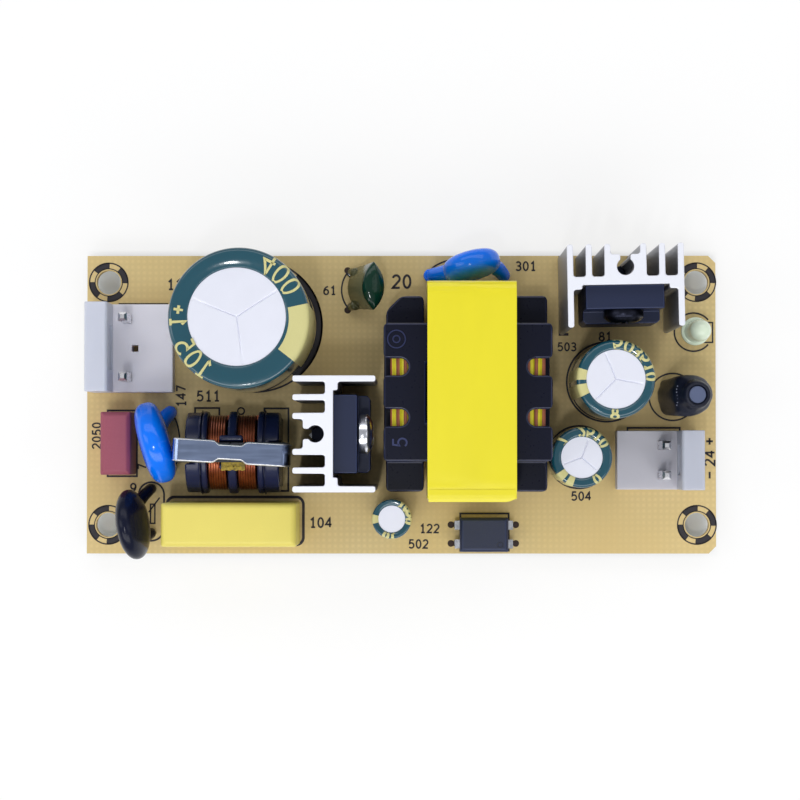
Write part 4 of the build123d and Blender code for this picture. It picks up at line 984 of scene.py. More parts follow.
class SUPPLY_OT_dipped_parts(bpy.types.Operator):
    """Flows the dipped discs and the dipped film capacitor over their legs"""

    bl_idname = "supply.dipped_parts"
    bl_label = "Dipped parts"

    def execute(self, context):
        finishes = {"blue_dip": moulded("blue dip"), "black_dip": moulded("black dip")}
        for name, slot, *sizes in DISCS:
            seat(dipped_disc(name + "_dip", *sizes), finishes[slot], slot, name + "_disc")
        grids = [dipped_pillow(FILM_FOOT, FILM_TILT, FILM_LENGTH)]
        for side in (-1, 1):
            base = np.array([-7.1, 15.45 + side * 2.45, BOARD_TOP + 0.15])
            knee, inside = base + [0.1, 0, 0.8], base + [0.9, -side * 0.35, 2.0]
            grids.append(leg([base, knee, inside], [0.35, 0.45, 0.8]))
        green = film_finish(look("capacitor.film"), FILM_TILT, FILM_FOOT, FILM_LENGTH - FILM_CAP)
        skin = melted("film_capacitor_dip", grids, voxel=0.1, passes=2)
        seat(skin, green, "green_dip", "film_capacitor_body")
        return {"FINISHED"}


# Common mode choke

def wound(x0, x1, y, z, reach, radius, turns):
    """A helix of wire round an axis along X: it moves along X by its pitch at each turn."""
    turn = np.linspace(0, TAU * turns, 64 * turns + 1)
    along = x0 + radius + (x1 - x0 - 2 * radius) * turn / turn[-1]
    outward = np.stack([0 * turn, np.cos(turn), np.sin(turn)], 1)
    path = np.stack([along, np.full(len(turn), y), np.full(len(turn), z)], 1) + outward * reach
    beside = np.cross(unit(np.gradient(path, axis=0)), outward)
    ring = circle(radius, 8)
    return path[:, None] + outward[:, None] * ring[None, :, :1] + beside[:, None] * ring[None, :, 1:]


CLIP_BEND = (
    # share of the bend's radius in from the leg, and down from the top
    (0.0, 1.0), (0.08, 0.6), (0.3, 0.28), (0.65, 0.06), (1.0, 0.0),
)


def clip_strip(
    x, y, reach, top, base, turn, bend=0.9, width=3.0, thickness=0.35, waist=3.7, notch=0.5
):
    """A bent spring strip: a hook, a flat top that narrows at the waist, and a hook.

    The outline's half width is w/2 less notch times a smooth step inside the waist.
    """
    corner = [(-reach + bend * inward, top - bend * down) for inward, down in CLIP_BEND]
    over = np.array([(-reach, base), *corner])
    flat_x = np.linspace(-reach + bend, reach - bend, 60)[1:-1]
    flat = np.stack([flat_x, np.full(58, top)], 1)
    line = np.vstack([over, flat, over[::-1] * [-1, 1]])
    run = unit(np.gradient(line, axis=0))
    inner = line + np.stack([run[:, 1], -run[:, 0]], 1) * thickness
    step = np.clip((waist / 2 + 0.45 - np.abs(line[:, 0])) / 0.9, 0, 1)
    half = width / 2 - notch * step * step * (3 - 2 * step) * (line[:, 1] > top - 0.01)
    cos, sin = math.cos(turn), math.sin(turn)
    corners = ((line.T, -half), (line.T, half), (inner.T, half), (inner.T, -half))
    return np.stack([
        points(x + along * cos - side * sin, y + along * sin + side * cos, rise)
        for (along, rise), side in corners
    ], 1)


class SUPPLY_OT_choke(bpy.types.Operator):
    """Winds the common mode choke and fits its bobbin, cores, clip and tape"""

    bl_idname = "supply.choke"
    bl_label = "Common mode choke"

    def execute(self, context):
        looks = context.scene.wound_looks
        rounding = 2.5 * look("hardware.edge") / MM
        eased("choke_bobbin", "choke_spools", moulded("choke bobbin"), "bobbin", rounding)
        ferrite = moulded("ferrite")
        copper = copper_finish(looks)
        radius = looks.wire / MM / 2
        for side in ("left", "right"):
            node = "choke_core_" + side
            eased(node, node + "_ground", ferrite, "ferrite", 0.15)
        for side in ("left", "right"):
            node = "choke_winding_" + side
            low, high, middle = node_box(node)
            reach = (high[1] - low[1]) / 2
            layers = [
                wound(low[0], high[0], middle[1], middle[2], reach - depth, radius, looks.turns)
                for depth in (radius, 2.7 * radius)
            ]
            made(node + "_turns", layers, copper, "copper", node)
        self.fit_clip(looks)
        return {"FINISHED"}

    def fit_clip(self, looks):
        """Bends the clip over the cores and lays the ragged tab of tape across its waist."""
        low, high, middle = node_box("choke_clip")
        reach = (high[0] - low[0]) / 2
        strip = clip_strip(middle[0], middle[1], reach, high[2], low[2], math.radians(-3.2))
        steel = metal("clip steel", looks.clip, 0.16, stretch=(0.1, 1, 1), grain=2, depth=0.002)
        clip = made("choke_clip_strip", [strip], steel, "clip_steel", "choke_clip", crease=50)
        rounding = clip.modifiers.new("rounding", "BEVEL")
        rounding.width = 0.22 * MM
        rounding.segments = 2
        rounding.limit_method = "ANGLE"
        # painted highlight: near-white steel on the clip's rounded edges
        highlight_edges(clip, metal("clip edges", (0.95, 0.95, 1.0), 0.4))
        wave = np.linspace(0, 1, 24)
        ragged = 0.35 + 0.03 * np.sin(wave * 23) + 0.015 * np.sin(wave * 51)
        tab_y = middle[1] - 1.8
        tab_line = np.stack([middle[0] + 0.3 + (wave - 0.5) * 3.1, np.full(24, tab_y)], 1)
        tab = ribbon(tab_line, 1.1, -0.05, 0.05, high[2] - 1.5)
        tab[:, :, 1] = tab_y + (tab[:, :, 1] - tab_y) * (ragged / 0.35)[:, None]
        made("choke_tape_tab", [tab], shaded_tab_finish(), "tape")


# Boxed capacitor

class SUPPLY_OT_boxed_capacitor(bpy.types.Operator):
    """Rounds the boxed capacitor's moulding"""

    bl_idname = "supply.boxed_capacitor"
    bl_label = "Boxed capacitor"

    def execute(self, context):
        rounding = (0.3, 0.0, 3)
        eased("x_capacitor_case", "x_capacitor_box", moulded("yellow box"), "yellow_box", *rounding)
        return {"FINISHED"}


# Electrolytic capacitors

CANS = (
    # name, disc diameter, vent arms, band angles, numbers (text, size, angle),
    # how much narrower and how far aside the can's top lies
    (
        "main", 12.6, (158, 33, -82), ((-38, 12),),
        (("400", 2.6, 46), ("+", 2.0, 172), ("1", 1.9, 184), ("105", 2.5, 222)),
        0.3, (-0.25, 0.18, 0),
    ),
    (
        "output", 7.6, (112, -10, -135), ((163, 181), (188, 207)),
        (("50", 1.8, 78), ("3510", 1.5, 28), ("8", 1.5, 268)), 0.0, (0, 0, 0),
    ),
    (
        "second", 5.4, (70, 200, -40), ((213, 230), (237, 252)),
        (("2510", 1.35, 62), ("7", 1.4, 140), ("0", 1.3, 305)), 0.0, (0, 0, 0),
    ),
    (
        "supply", 3.5, (), ((166, 194),),
        (("50", 1.0, 5), ("16", 1.0, 45), ("10", 1.0, 262)), 0.0, (0, 0, 0),
    ),
)


def sleeve_line(radius, height, disc, rim, lift):
    """Points of radius and height up the sleeve, over its rounded rim and in to the open disc."""
    turn = np.radians(np.linspace(0, 80, 9))
    over = rim + lift
    corner = np.stack([radius - rim + over * np.cos(turn), height - rim + over * np.sin(turn)], 1)
    turn = np.radians(np.linspace(20, 90, 5))
    lip = np.stack([disc + 0.3 - 0.3 * np.sin(turn), height - 0.38 + 0.3 * np.cos(turn) + lift], 1)
    return np.vstack([[(radius + lift, 0.0)], corner, lip])


def sleeve_band(sizes, lift, depth, bottom=0.0):
    """A closed profile along the sleeve's outside, from lift above it to depth below it."""
    outer, inner = sleeve_line(*sizes, lift), sleeve_line(*sizes, -depth)
    outer[0, 1] = inner[0, 1] = bottom
    return np.vstack([outer, inner[::-1]])


def on_sleeve(strip, angle, sizes, centre):
    """Wraps a number round the can: its height runs down from the disc over the rim."""
    radius, _, disc, _ = sizes
    line = sleeve_line(*sizes, 0.02)[::-1]
    walk = np.concatenate([[0], np.cumsum(np.hypot(*np.diff(line, axis=0).T))])
    along, up, rise = np.moveaxis(strip, -1, 0)
    down = (radius - disc) / 2 + 0.25 - up
    reach = np.interp(down, walk, line[:, 0]) + rise * 0.5
    turn = math.radians(angle) - along / (radius - 0.5)
    return polar(reach, turn, np.interp(down, walk, line[:, 1]) + rise) + centre


def can_top(radius, height, disc, arms, depth, steps=240):
    """The can: rows run from the top's centre outwards and down the wall to the base.

    Its top is level less a groove, depth times exp(-(d/0.06)^2) of the distance d to the nearest
    vent arm, inside the disc.
    """
    rings = np.concatenate([np.linspace(0.02, disc, 46), [disc + 0.4, radius - 0.6]])[:, None]
    angle = round_angles(steps)
    nearest = np.full((len(rings), steps), 9.0)
    for arm in arms:
        offset = angle - math.radians(arm)
        across = np.abs(rings * np.sin(offset))
        nearest = np.where(rings * np.cos(offset) > 0, np.minimum(nearest, across), nearest)
    groove = depth * np.exp(-(nearest / 0.06) ** 2) * (rings < disc - 0.25)
    wall = np.array([
        (radius - 0.2, height - 0.5), (radius - 0.16, height - 1.0), (radius - 0.16, 0.02),
    ])
    top = polar(rings, angle, height - 0.3 - groove)
    return np.vstack([top, polar(wall[:, :1], angle, wall[:, 1:])])


class SUPPLY_OT_electrolytics(bpy.types.Operator):
    """Makes the cans with their scored vents, and the sleeves with their rolled rims and print"""

    bl_idname = "supply.electrolytics"
    bl_label = "Electrolytic capacitors"

    def execute(self, context):
        looks = context.scene.capacitor_looks
        can = can_finish(looks)
        sleeve = moulded("sleeve", Coat_Weight=0.7, Coat_Roughness=0.06)
        ink = moulded("sleeve print")
        for name, across, arms, bands, numbers, narrower, shift in CANS:
            node = name + "_capacitor_sleeve"
            low, high, middle = node_box(node)
            radius, height, disc = (high[0] - low[0]) / 2, high[2] - low[2], across / 2
            sizes = (radius, height, disc, looks.rim_radius / MM * min(1, radius / 5))
            centre = np.array([middle[0], middle[1], low[2]])
            top = can_top(radius - narrower, height, disc, arms, looks.score_depth / MM)
            top += centre + shift
            made(name + "_can_top", [top], can, "can", name + "_capacitor_can", crease=60)
            skin = revolved(sleeve_band(sizes, 0.0, 0.1), centre, 144)
            beyond = np.hypot(*(skin - centre)[..., :2].transpose(2, 0, 1))[..., None]
            skin += np.array(shift) * np.clip((radius - beyond) / (radius - disc), 0, 1)
            made(name + "_sleeve_skin", [skin], sleeve, "sleeve", node, loop=True, crease=60)
            strip = sleeve_band(sizes, 0.025, 0.03, 0.3)
            grids = [
                revolved(strip, centre, 24, math.radians(start), math.radians(end - start))
                for start, end in bands
            ]
            made(name + "_sleeve_band", grids, ink, "sleeve", crease=60)
            ribbons = [
                on_sleeve(line, angle, sizes, centre) for text, size, angle in numbers
                for line in number(text, size, 0.34, 0.03)
            ]
            made(name + "_sleeve_numbers", ribbons, ink, "sleeve", crease=60)
        return {"FINISHED"}


# Heatsinks, packages and screws

SINKS = (
    # name, seat x, seat y, direction of the package side, the screw's shift along X
    ("switch", -8.78, -4.3, -90.0, 0.28),
    ("rectifier", 28.73, 14.85, 181.0, 0.0),
)
SAWN_TOP = 21.6
SCREW_HEIGHT = 16.9
SCREW_SEAT = 3.0


def screw_head(x, y, turn, radius=2.6, height=1.8):
    """A pan head with a cross recess: rise = h(1 - 0.45 r^4) less a smooth cross of depth 0.9."""
    share = np.concatenate([np.linspace(0.01, 0.9, 26), [0.95, 0.98, 1.0]])[:, None]
    angle = round_angles(96) + 0.6
    across, along = radius * share * np.cos(angle), radius * share * np.sin(angle)
    arm = np.minimum(
        np.maximum(np.abs(across) / 0.35, np.abs(along) / 1.35),
        np.maximum(np.abs(along) / 0.35, np.abs(across) / 1.35),
    )
    rise = height * (1 - 0.45 * share ** 4) - 0.9 * np.clip((1.15 - arm) / 0.4, 0, 1)
    skirt = np.array([(radius, 0.3), (radius * 0.98, 0.0)])
    local = np.vstack([np.stack([across, along, rise], -1), polar(skirt[:, :1], angle, skirt[:, 1:])])
    cos, sin = math.cos(math.radians(turn)), math.sin(math.radians(turn))
    out = np.array([-sin, cos, 0])
    start = np.array([x, y, SCREW_HEIGHT]) + out * SCREW_SEAT
    return start + local @ np.array([(cos, sin, 0), (0, 0, 1), out])


class SUPPLY_OT_heatsinks(bpy.types.Operator):
    """Rounds the heatsinks' fins, the power packages and their screws"""

    bl_idname = "supply.heatsinks"
    bl_label = "Heatsinks and power packages"

    def execute(self, context):
        looks = context.scene.hardware_looks
        edge = looks.edge / MM
        aluminium = sawn_metal("extruded aluminium", looks.aluminium, SAWN_TOP)
        package, lighter = moulded("package moulding"), moulded("package edges")
        silver = metal("screw steel", looks.aluminium, 0.18)
        black = metal("black screw steel", looks.black_screw, 0.3)
        for name, *_ in SINKS:
            node = name + "_heatsink"
            eased(node, node + "_extrusion", aluminium, "heatsink", 0.8 * edge, looks.fin_end / MM, 3)
        for node in ("switch_transistor", "rectifier_diode"):
            highlight_edges(eased(node, node + "_moulding", package, "package", edge), lighter)
        grids = [screw_head(x + shift, y, turn) for _, x, y, turn, shift in SINKS]
        heads = made("screw_heads", grids, silver, "screw_steel", "heatsink_screws", crease=45)
        heads.data.materials.append(black)
        centres = np.empty(len(heads.data.polygons) * 3)
        heads.data.polygons.foreach_get("center", centres)
        on_rectifier = centres.reshape(-1, 3)[:, 0] > 0.01
        heads.data.polygons.foreach_set("material_index", on_rectifier.astype(np.int32))
        return {"FINISHED"}


# Transformer

TAPE_SHIFT = (0.42, 0.2)


def tape_wrap(x, y, z, width, half_y, half_z, thickness, creases):
    """Tape round both cores: its loop is |cos|^0.09 by |sin|^0.09, with small waves in it."""
    turn = (np.arange(240) * TAU / 240)[:, None]
    across = np.linspace(-0.5, 0.5, 25)[None]
    cos, sin = np.cos(turn), np.sin(turn)
    wave = creases * (
        np.sin(9 * turn + 7 * across) * np.sin(13 * across + 2)
        + 0.6 * np.sin(23 * turn) * np.sin(5 * across)
    )
    loop_y, loop_z = (np.sign(share) * np.abs(share) ** 0.09 for share in (cos, sin))
    return np.concatenate([
        points(x + width * side, y + (half_y + up) * loop_y, z + (half_z + up) * loop_z)
        for side, up in ((across, thickness + 0.3 * wave), (across[:, ::-1], 0.02))
    ], 1)


class SUPPLY_OT_transformer(bpy.types.Operator):
    """Tapes the transformer cores, rounds its bobbin and finishes its coil"""

    bl_idname = "supply.transformer"
    bl_label = "Transformer"

    def execute(self, context):
        looks = context.scene.wound_looks
        edge = look("hardware.edge") / MM
        plastic, rounding = moulded("transformer bobbin"), (2 * edge, 0.7, 3)
        bobbin = eased("transformer_bobbin", "transformer_former", plastic, "bobbin", *rounding)
        highlight_edges(bobbin, moulded("bobbin edges"))
        ferrite = moulded("core ferrite")
        for part in ("top", "bottom"):
            node = "transformer_core_" + part
            eased(node, node + "_ground", ferrite, "ferrite", edge)
        paint(winding_finish(looks), "transformer_winding", "transformer_wrap")
        self.lay_tape(looks)
        self.mark_bobbin(moulded("bobbin marks"))
        return {"FINISHED"}

    def lay_tape(self, looks):
        """Wraps the tape round the cores and laps its end, one corner torn back, over the edge."""
        tape = tape_finish(looks)
        low, high, middle = node_box("transformer_tape")
        width, half_y, half_z = (high - low) / [1, 2, 2]
        x = middle[0] + TAPE_SHIFT[0]
        wrap = tape_wrap(
            x, middle[1] + TAPE_SHIFT[1], middle[2],
            width + 0.15, half_y - 0.1, half_z - 0.3, 0.28, looks.creases / MM,
        )
        made("transformer_tape_wrap", [wrap], tape, "tape", "transformer_tape", loop=True)
        side = np.linspace(-0.5, 0.5, 30)
        corner = np.clip((side - 0.38) / 0.12, 0, 1) ** 2
        drop = np.array([-1.0, -0.4, 0.0, 0.3, 0.6])[:, None]
        beyond = np.maximum(drop, 0)
        out = low[1] + 0.32 - drop + 0.8 * corner * beyond
        fall = high[2] + 0.03 - 0.35 * beyond * (1 - 0.5 * corner)
        outer, inner = (
            points(x + side * (width - 0.1), out, fall - thickness)
            for thickness in (0.0, 0.06)
        )
        lap = np.concatenate([outer, inner[::-1]]).transpose(1, 0, 2)
        made("transformer_tape_end", [lap], tape, "tape")

    def mark_bobbin(self, lit_marks):
        """Raises two rings and a number on the bobbin's flange, coloured lighter as a painted
        highlight on their raised edges.
        """
        _, high, middle = node_box("transformer_bobbin")
        top = high[2]
        mark = (middle[0] - 9.3, middle[1] + 6.9, top)
        bead = np.array([(-0.09, -0.05), (0.09, -0.05), (0.05, 0.12), (-0.05, 0.12)])
        rings = [revolved(bead + [radius, 0], mark, 48) for radius in (0.45, 1.15)]
        made("transformer_ring_mark", rings, lit_marks, "bobbin", loop=True)
        ribbons = [
            on_board(strip, middle[0] - 8.85, middle[1] - 6.5, 90, top)
            for strip in number("5", 1.8, 0.24, 0.1)
        ]
        made("transformer_number", ribbons, lit_marks, "bobbin", crease=60)


# Indicator, inductor and coupler

class SUPPLY_OT_indicator(bpy.types.Operator):
    """Turns the indicator's domed lens on its flange"""

    bl_idname = "supply.indicator"
    bl_label = "Indicator light"

    def execute(self, context):
        low, high, middle = node_box("indicator_led")
        height = high[2] - low[2]
        turn = np.radians(np.linspace(0, 89, 14))
        dome = np.stack([1.45 * np.cos(turn), height - 1.5 + 1.5 * np.sin(turn)], 1)
        flange = [(0.01, 0.0), (1.8, 0.0), (1.9, 0.1), (1.9, 0.9), (1.8, 1.0), (1.52, 1.02)]
        profile = np.vstack([flange, dome, [(0.01, height)]])
        grid = revolved(profile, (middle[0], middle[1], low[2]), 64)
        leaning = 0.36 * np.clip((grid[..., 2] - low[2] - 1.0) / 2.0, 0, 1)
        grid[..., 0] += leaning
        resin = translucent("indicator resin", look("hardware.lens"))
        made("indicator_lens", [grid], resin, "led_lens", "indicator_led", loop=True, crease=50)
        return {"FINISHED"}


INDUCTOR_PLACE = (36.75, 0.88, BOARD_TOP + 0.5)
INDUCTOR_LEAN = math.radians(8.3)
INDUCTOR_HEIGHT = 13.3
MOUTH_SHARE = 0.838

TUBE_LINE = (
    # share of the height, radius
    (0.0, 2.0), (0.03, 2.3), (0.1, 2.42), (0.25, 2.42), (0.4, 2.5), (0.55, 2.6), (0.68, 2.7),
    (0.76, 2.7), (0.8, 2.6), (0.825, 2.45), (0.845, 2.25), (0.862, 2.1), (0.89, 1.97), (0.93, 1.88),
    (0.965, 1.82), (0.985, 1.72), (1.0, 1.52), (1.0, 1.34), (0.985, 1.24), (0.96, 1.2),
)

TUBE_LUMPS = (
    # height, angle and width of the lump over each wire end
    (0.42, 4.15, 0.28), (0.34, 2.25, 0.22),
)


def leaned(local):
    """Points turned about Y by the inductor's lean, their top towards +X, and set at its foot."""
    x, y, base = INDUCTOR_PLACE
    cos, sin = math.cos(INDUCTOR_LEAN), math.sin(INDUCTOR_LEAN)
    along, aside, up = np.moveaxis(local, -1, 0)
    return np.stack([x + along * cos + up * sin, y + aside, base + up * cos - along * sin], -1)


def shrunk_tube():
    """Heat-shrink tube over the inductor, in rows up its outside, over the shoulder and in.

    The radius at each height swells by low waves in angle, and by two lumps where the wire ends lie.
    """
    rise, reach = np.array(TUBE_LINE).T[..., None]
    angle = round_angles(128)
    lumps = sum(
        size * np.exp(-((angle - at) / width) ** 2) for size, at, width in TUBE_LUMPS
    )
    waves = (
        0.05 * np.sin(3 * angle + 1) + 0.03 * np.sin(7 * angle + 9 * rise)
        + 0.02 * np.sin(12 * angle - 20 * rise)
    )
    body = np.clip((0.86 - rise) * 12, 0, 1)
    reach = reach + (lumps + waves) * body + 0.4 * waves * (1 - body)
    return leaned(polar(reach, angle, rise * INDUCTOR_HEIGHT))


class SUPPLY_OT_inductor(bpy.types.Operator):
    """Shrinks the tube over the output inductor and caps its rod core"""

    bl_idname = "supply.inductor"
    bl_label = "Output inductor"

    def execute(self, context):
        shrink, hidden = moulded("shrink tube"), ("inductor_sleeve", "inductor_winding")
        made("inductor_shrink", [shrunk_tube()], shrink, "heatshrink", *hidden, crease=70)
        profile = [(0.01, 0.4), (1.1, 0.4), (1.16, 0.5), (1.16, 12.95), (1.08, 13.05), (0.01, 13.05)]
        rod = [leaned(revolved(profile, steps=48))]
        made("inductor_rod", rod, moulded("rod core"), "ferrite", "inductor_core", loop=True)
        # painted highlight: a row of small pale beads on the tube's shoulder, for light caught along
        # a ridge
        bead = [(0.01, -0.12), (0.07, -0.1), (0.09, 0.0), (0.05, 0.04), (0.01, 0.05)]
        height = MOUTH_SHARE * INDUCTOR_HEIGHT
        beads = [
            leaned(revolved(bead, (-2.25 - 0.1 * math.sin(3 * up), up, height), 10))
            for up in (1.15, 0.75, 0.35, -0.05, -0.5, -1.0, -1.35)
        ]
        made("inductor_marks", beads, moulded("shrink tube marks"), "heatshrink", loop=True)
        return {"FINISHED"}


class SUPPLY_OT_coupler(bpy.types.Operator):
    """Rounds the coupler's moulding and marks its first lead"""

    bl_idname = "supply.coupler"
    bl_label = "Optocoupler"

    def execute(self, context):
        body, rounding = moulded("coupler moulding"), look("hardware.edge") / MM
        case = eased("optocoupler_body", "coupler_moulding", body, "package", rounding)
        highlight_edges(case, moulded("coupler edges"))
        low, high, _ = node_box("optocoupler_body")
        mark = (high[0] - 1.1, low[1] + 0.95, high[2])
        profile = [(0.3, -0.02), (0.42, -0.02), (0.4, 0.04), (0.32, 0.04)]
        ring = [revolved(profile, mark, 40)]
        made("coupler_mark", ring, moulded("coupler mark"), "package", loop=True)
        return {"FINISHED"}


# Leads, solder and the underside

LEAD_NODES = (
    "fuse_leads", "varistor_leads", "thermistor_leads", "y_capacitor_leads", "choke_pins",
    "x_capacitor_leads", "electrolytic_leads", "film_capacitor_leads", "switch_transistor_leads",
    "rectifier_diode_leads", "transformer_pins", "indicator_led_leads", "inductor_leads",
    "optocoupler_leads",
)

TRACKS = (
    # width, then the places that the copper joins
    (2.0, ((-37.0, 11.3), (-40.3, 9.3), (-40.3, -1.2), (-38.2, -2.9))),
    (2.2, (
        (-37.0, 3.4), (-33.6, 1.6), (-31.5, -1.2), (-27.2, -3.2), (-22.4, -4.6), (-22.4, -12.6),
        (-15.3, -16.2),
    )),
    (1.8, ((-38.2, -8.0), (-36.8, -10.0), (-36.8, -15.0), (-34.1, -17.6))),
    (2.2, ((-34.1, -11.6), (-31.5, -8.8), (-27.2, -10.1))),
    (2.0, ((-31.5, -8.8), (-30.3, -16.2))),
    (1.7, ((-17.6, -3.2), (-17.6, 3.0), (-12.0, 8.6))),
    (1.7, ((-17.6, -10.1), (-14.6, -7.2), (-14.6, 1.5), (-11.8, 6.2))),
    (2.4, ((-16.3, 10.6), (-12.6, 12.3), (-9.0, 10.4), (-4.0, 10.6), (-0.4, 11.2))),
    (2.6, ((-23.8, 10.6), (-23.8, 15.6), (-12.0, 16.0), (-3.5, 18.3), (3.7, 17.5))),
    (1.2, ((-7.1, 13.2), (-4.6, 12.9), (-0.4, 11.2))),
    (2.4, ((-6.3, -4.3), (-0.4, -3.9))),
    (1.0, ((-6.3, -1.8), (-4.4, 0.6), (-0.4, 1.2))),
    (2.0, ((-6.3, -6.8), (-7.6, -8.6), (-7.6, -10.6))),
    (1.2, ((-4.8, -13.4), (-2.5, -15.4))),
    (1.2, ((-0.3, -15.4), (-0.4, -8.9))),
    (0.9, ((7.2, -19.0), (-1.0, -19.0), (-8.6, -17.4), (-8.6, -14.4))),
    (0.9, ((7.2, -16.5), (4.2, -16.5))),
    (3.2, ((17.7, 6.2), (19.6, 10.6), (26.2, 12.3))),
    (3.2, ((28.8, 12.4), (28.8, 8.0), (25.2, 2.6))),
    (2.4, ((28.8, 8.4), (34.2, 8.0), (36.9, 2.9))),
    (2.6, ((36.9, -1.1), (35.0, -5.7), (30.2, -4.6), (24.7, -6.0))),
    (3.0, ((17.7, -8.9), (22.5, -8.7), (25.0, -11.8), (31.0, -11.8), (35.0, -9.7))),
    (2.0, ((30.2, 3.0), (28.6, -0.8), (21.2, -2.6), (19.8, -6.6), (22.5, -8.7))),
    (1.0, ((39.6, 8.4), (38.4, 5.0), (36.9, 2.9))),
    (1.0, ((39.6, 11.0), (41.2, 9.2), (41.2, -8.4), (38.6, -11.6), (35.0, -9.7))),
    (1.0, ((14.8, -16.5), (16.8, -14.8), (19.6, -11.8), (22.5, -8.7))),
    (1.0, ((14.8, -19.0), (19.2, -18.2), (32.6, -14.6), (35.0, -9.7))),
    (1.6, ((13.7, 17.5), (20.0, 18.0), (28.7, 17.1))),
)
TRACK_STEP = 0.003


class SUPPLY_OT_underside(bpy.types.Operator):
    """Finishes the leads, the solder and the parts under the board"""

    bl_idname = "supply.underside"
    bl_label = "Leads and underside"

    def execute(self, context):
        strips = [
            ribbon(path, width, -0.05 - TRACK_STEP * index, 0.02 + TRACK_STEP * index)
            for index, (width, path) in enumerate(TRACKS)
        ]
        made("board_tracks", strips, moulded("lacquered tracks"), "board", crease=30)
        solder = look("board.solder")
        paint(metal("tinned wire", solder, 0.18, stretch=(1, 1, 0.2), Coat_Weight=0.3), *LEAD_NODES)
        paint(metal("solder", solder, 0.22, depth=0.01), "solder_fillets")
        # painted shade: the pins in the heatsinks' channels are coloured dark for the shade inside
        # the channels
        paint(metal("blackened steel", look("hardware.black_screw"), 0.35), "heatsink_pins")
        paint(moulded("chip moulding"), "bridge_rectifier", "control_chip")
        paint(moulded("chip ceramic"), "chip_parts")
        return {"FINISHED"}


# Stage

LAMPS = (
    # name, place, size, share of the studio lights
    ("front", (0, -0.55, 0.62), (1.5, 0.36), 1.25),
    ("back", (0, 0.55, 0.62), (1.5, 0.36), 0.65),
    ("left", (-0.75, 0, 0.6), (0.3, 0.7), 0.75),
    ("right", (0.75, 0, 0.6), (0.3, 0.7), 0.28),
)
FLOOR_HALF = 1.6


def softbox(name, place, size, radiance):
    """A rectangular light whose face has the given radiance, aimed at the board."""
    light = bpy.data.lights.new(name, "AREA")
    light.shape = "RECTANGLE"
    light.size, light.size_y = size
    light.energy = radiance * math.pi * size[0] * size[1]
    lamp = linked(name, light)
    lamp.location = place
    lamp.rotation_euler = (Vector((0, 0, 0.01)) - Vector(place)).to_track_quat("-Z", "Y").to_euler()


def floor_finish(looks):
    """White to the camera and in mirrors, and a plain pale floor to the light that it sends back.

    The white's share grows from 0.7 near the middle to 1 at 0.14 m, and is 0.13 of that under the
    board's footprint, so that the shadow there is kept.
    """
    finish = Finish("floor", looks.floor, 0.9)
    paths = finish.add("ShaderNodeLightPath").outputs
    seen = finish.sum("MAXIMUM", paths["Is Camera Ray"], paths["Is Glossy Ray"])
    seen = finish.sum("MAXIMUM", seen, paths["Is Transmission Ray"])
    glow = finish.add("ShaderNodeEmission", [("Color", (1, 1, 1, 1)), ("Strength", 1.0)]).outputs[0]
    finish.clouds(finish.noise(0.02, 2), 0.99, 1.0)
    along, aside, _ = finish.axes()
    past_end = finish.steps(finish.sum("ABSOLUTE", along), 0.0415, 0.0435)
    past_side = finish.steps(finish.sum("ABSOLUTE", aside), 0.0192, 0.0212)
    clear = finish.span(finish.sum("MAXIMUM", past_end, past_side), 0.13, 1.0)
    reach = finish.add("ShaderNodeVectorMath", [(0, finish.place)], operation="LENGTH")
    far = finish.span(reach.outputs["Value"], 0.7, 1.0, 0.03, 0.14)
    share = finish.sum("MULTIPLY", far, clear)
    inputs = [(0, finish.sum("MULTIPLY", seen, share)), (1, finish.shader.outputs[0]), (2, glow)]
    both = finish.add("ShaderNodeMixShader", inputs).outputs[0]
    finish.feed(finish.tree.nodes["Material Output"], [("Surface", both)])
    return finish.material


def room(scene, strength):
    """A dim sky all round that the camera sees as white."""
    world = scene.world = bpy.data.worlds.new("room")
    world.use_nodes = True
    nodes, links = world.node_tree.nodes, world.node_tree.links
    sky, white = nodes["Background"], nodes.new("ShaderNodeBackground")
    for node, tone, brightness in ((sky, (0.95, 0.97, 1, 1), strength), (white, (1, 1, 1, 1), 1.0)):
        node.inputs["Color"].default_value = tone
        node.inputs["Strength"].default_value = brightness
    both = nodes.new("ShaderNodeMixShader")
    seen = nodes.new("ShaderNodeLightPath").outputs["Is Camera Ray"]
    for index, output in enumerate((seen, sky.outputs[0], white.outputs[0])):
        links.new(output, both.inputs[index])
    links.new(both.outputs[0], nodes["World Output"].inputs["Surface"])


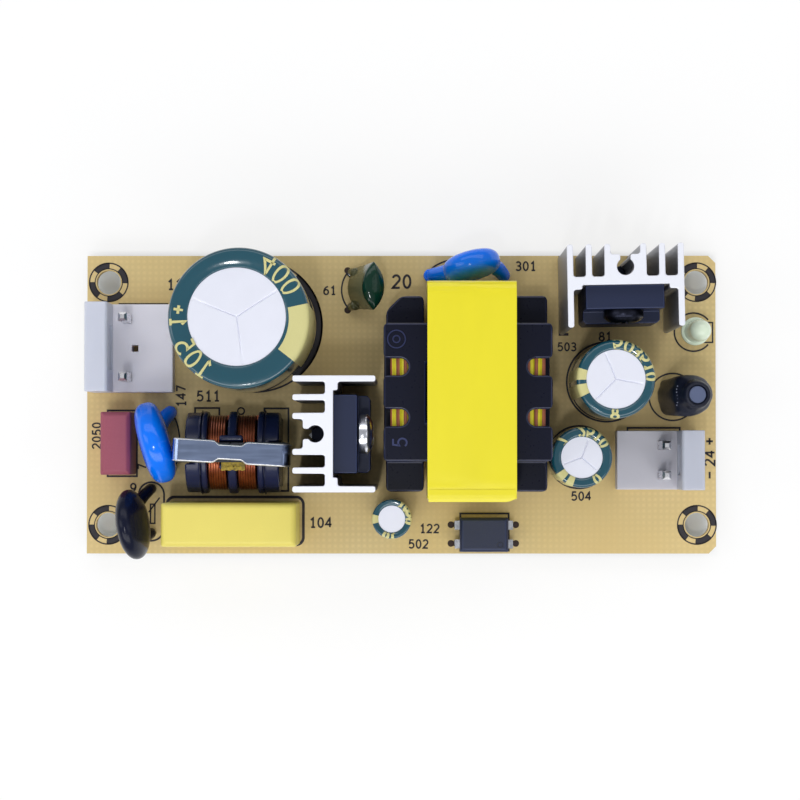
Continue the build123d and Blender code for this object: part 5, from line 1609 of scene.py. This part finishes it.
class SUPPLY_OT_stage(bpy.types.Operator):
    """Lays the floor, sets the lights and places the camera"""

    bl_idname = "supply.stage"
    bl_label = "Stage"

    def execute(self, context):
        scene = context.scene
        looks = scene.stage_looks
        scene.view_settings.view_transform = "Standard"
        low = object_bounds()[0][2]
        corners = [
            (x * FLOOR_HALF, y * FLOOR_HALF, low) for x, y in ((-1, -1), (1, -1), (1, 1), (-1, 1))
        ]
        mesh = bpy.data.meshes.new("floor")
        mesh.from_pydata(corners, [], [(0, 1, 2, 3)])
        mesh.materials.append(floor_finish(looks))
        ground = linked("floor", mesh)
        ground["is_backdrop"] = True
        for name, place, size, share in LAMPS:
            softbox(name, place, size, looks.studio * share)
        softbox("key", (-0.04, -0.15, 0.6), (0.03, 0.05), looks.key)
        room(scene, looks.sky)
        lens = bpy.data.cameras.new("camera")
        lens.lens = looks.lens
        lens.sensor_width = 36
        lens.clip_start, lens.clip_end = 0.01, 10
        camera = scene.camera = linked("camera", lens)
        camera.location = looks.camera
        back = (Vector(looks.camera) - Vector(looks.aim)).normalized()
        right = Vector((0, 1, 0)).cross(back).normalized()
        camera.rotation_euler = Matrix((right, back.cross(right), back)).transposed().to_euler()
        return {"FINISHED"}


PIECE_OPERATORS = (
    SUPPLY_OT_board, SUPPLY_OT_headers, SUPPLY_OT_fuse, SUPPLY_OT_dipped_parts, SUPPLY_OT_choke,
    SUPPLY_OT_boxed_capacitor, SUPPLY_OT_electrolytics, SUPPLY_OT_heatsinks, SUPPLY_OT_transformer,
    SUPPLY_OT_indicator, SUPPLY_OT_inductor, SUPPLY_OT_coupler, SUPPLY_OT_underside, SUPPLY_OT_stage,
)

LOOKS = {
    "board_looks": BoardLooks, "capacitor_looks": CapacitorLooks, "wound_looks": WoundLooks,
    "hardware_looks": HardwareLooks, "stage_looks": StageLooks,
}


class SUPPLY_PT_looks(bpy.types.Panel):
    """Lists the pieces and the colours and sizes they use"""

    bl_idname = "SUPPLY_PT_looks"
    bl_label = "Power supply"
    bl_space_type = "VIEW_3D"
    bl_region_type = "UI"
    bl_category = "Supply"

    def draw(self, context):
        for operator in PIECE_OPERATORS:
            self.layout.operator(operator.bl_idname)
        for name, group in LOOKS.items():
            box = self.layout.box()
            for field in group.__annotations__:
                box.prop(getattr(context.scene, name), field)


def register():
    for group in LOOKS.values():
        bpy.utils.register_class(group)
    for name, group in LOOKS.items():
        setattr(bpy.types.Scene, name, PointerProperty(type=group))
    for operator in PIECE_OPERATORS:
        bpy.utils.register_class(operator)
    bpy.utils.register_class(SUPPLY_PT_looks)


def unregister():
    bpy.utils.unregister_class(SUPPLY_PT_looks)
    for operator in reversed(PIECE_OPERATORS):
        bpy.utils.unregister_class(operator)
    for name, group in LOOKS.items():
        delattr(bpy.types.Scene, name)
        bpy.utils.unregister_class(group)


def main():
    """Registers the add-on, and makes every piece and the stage."""
    register()
    for operator in PIECE_OPERATORS:
        group, name = operator.bl_idname.split(".")
        getattr(getattr(bpy.ops, group), name)()


if __name__ == "__main__":
    main()
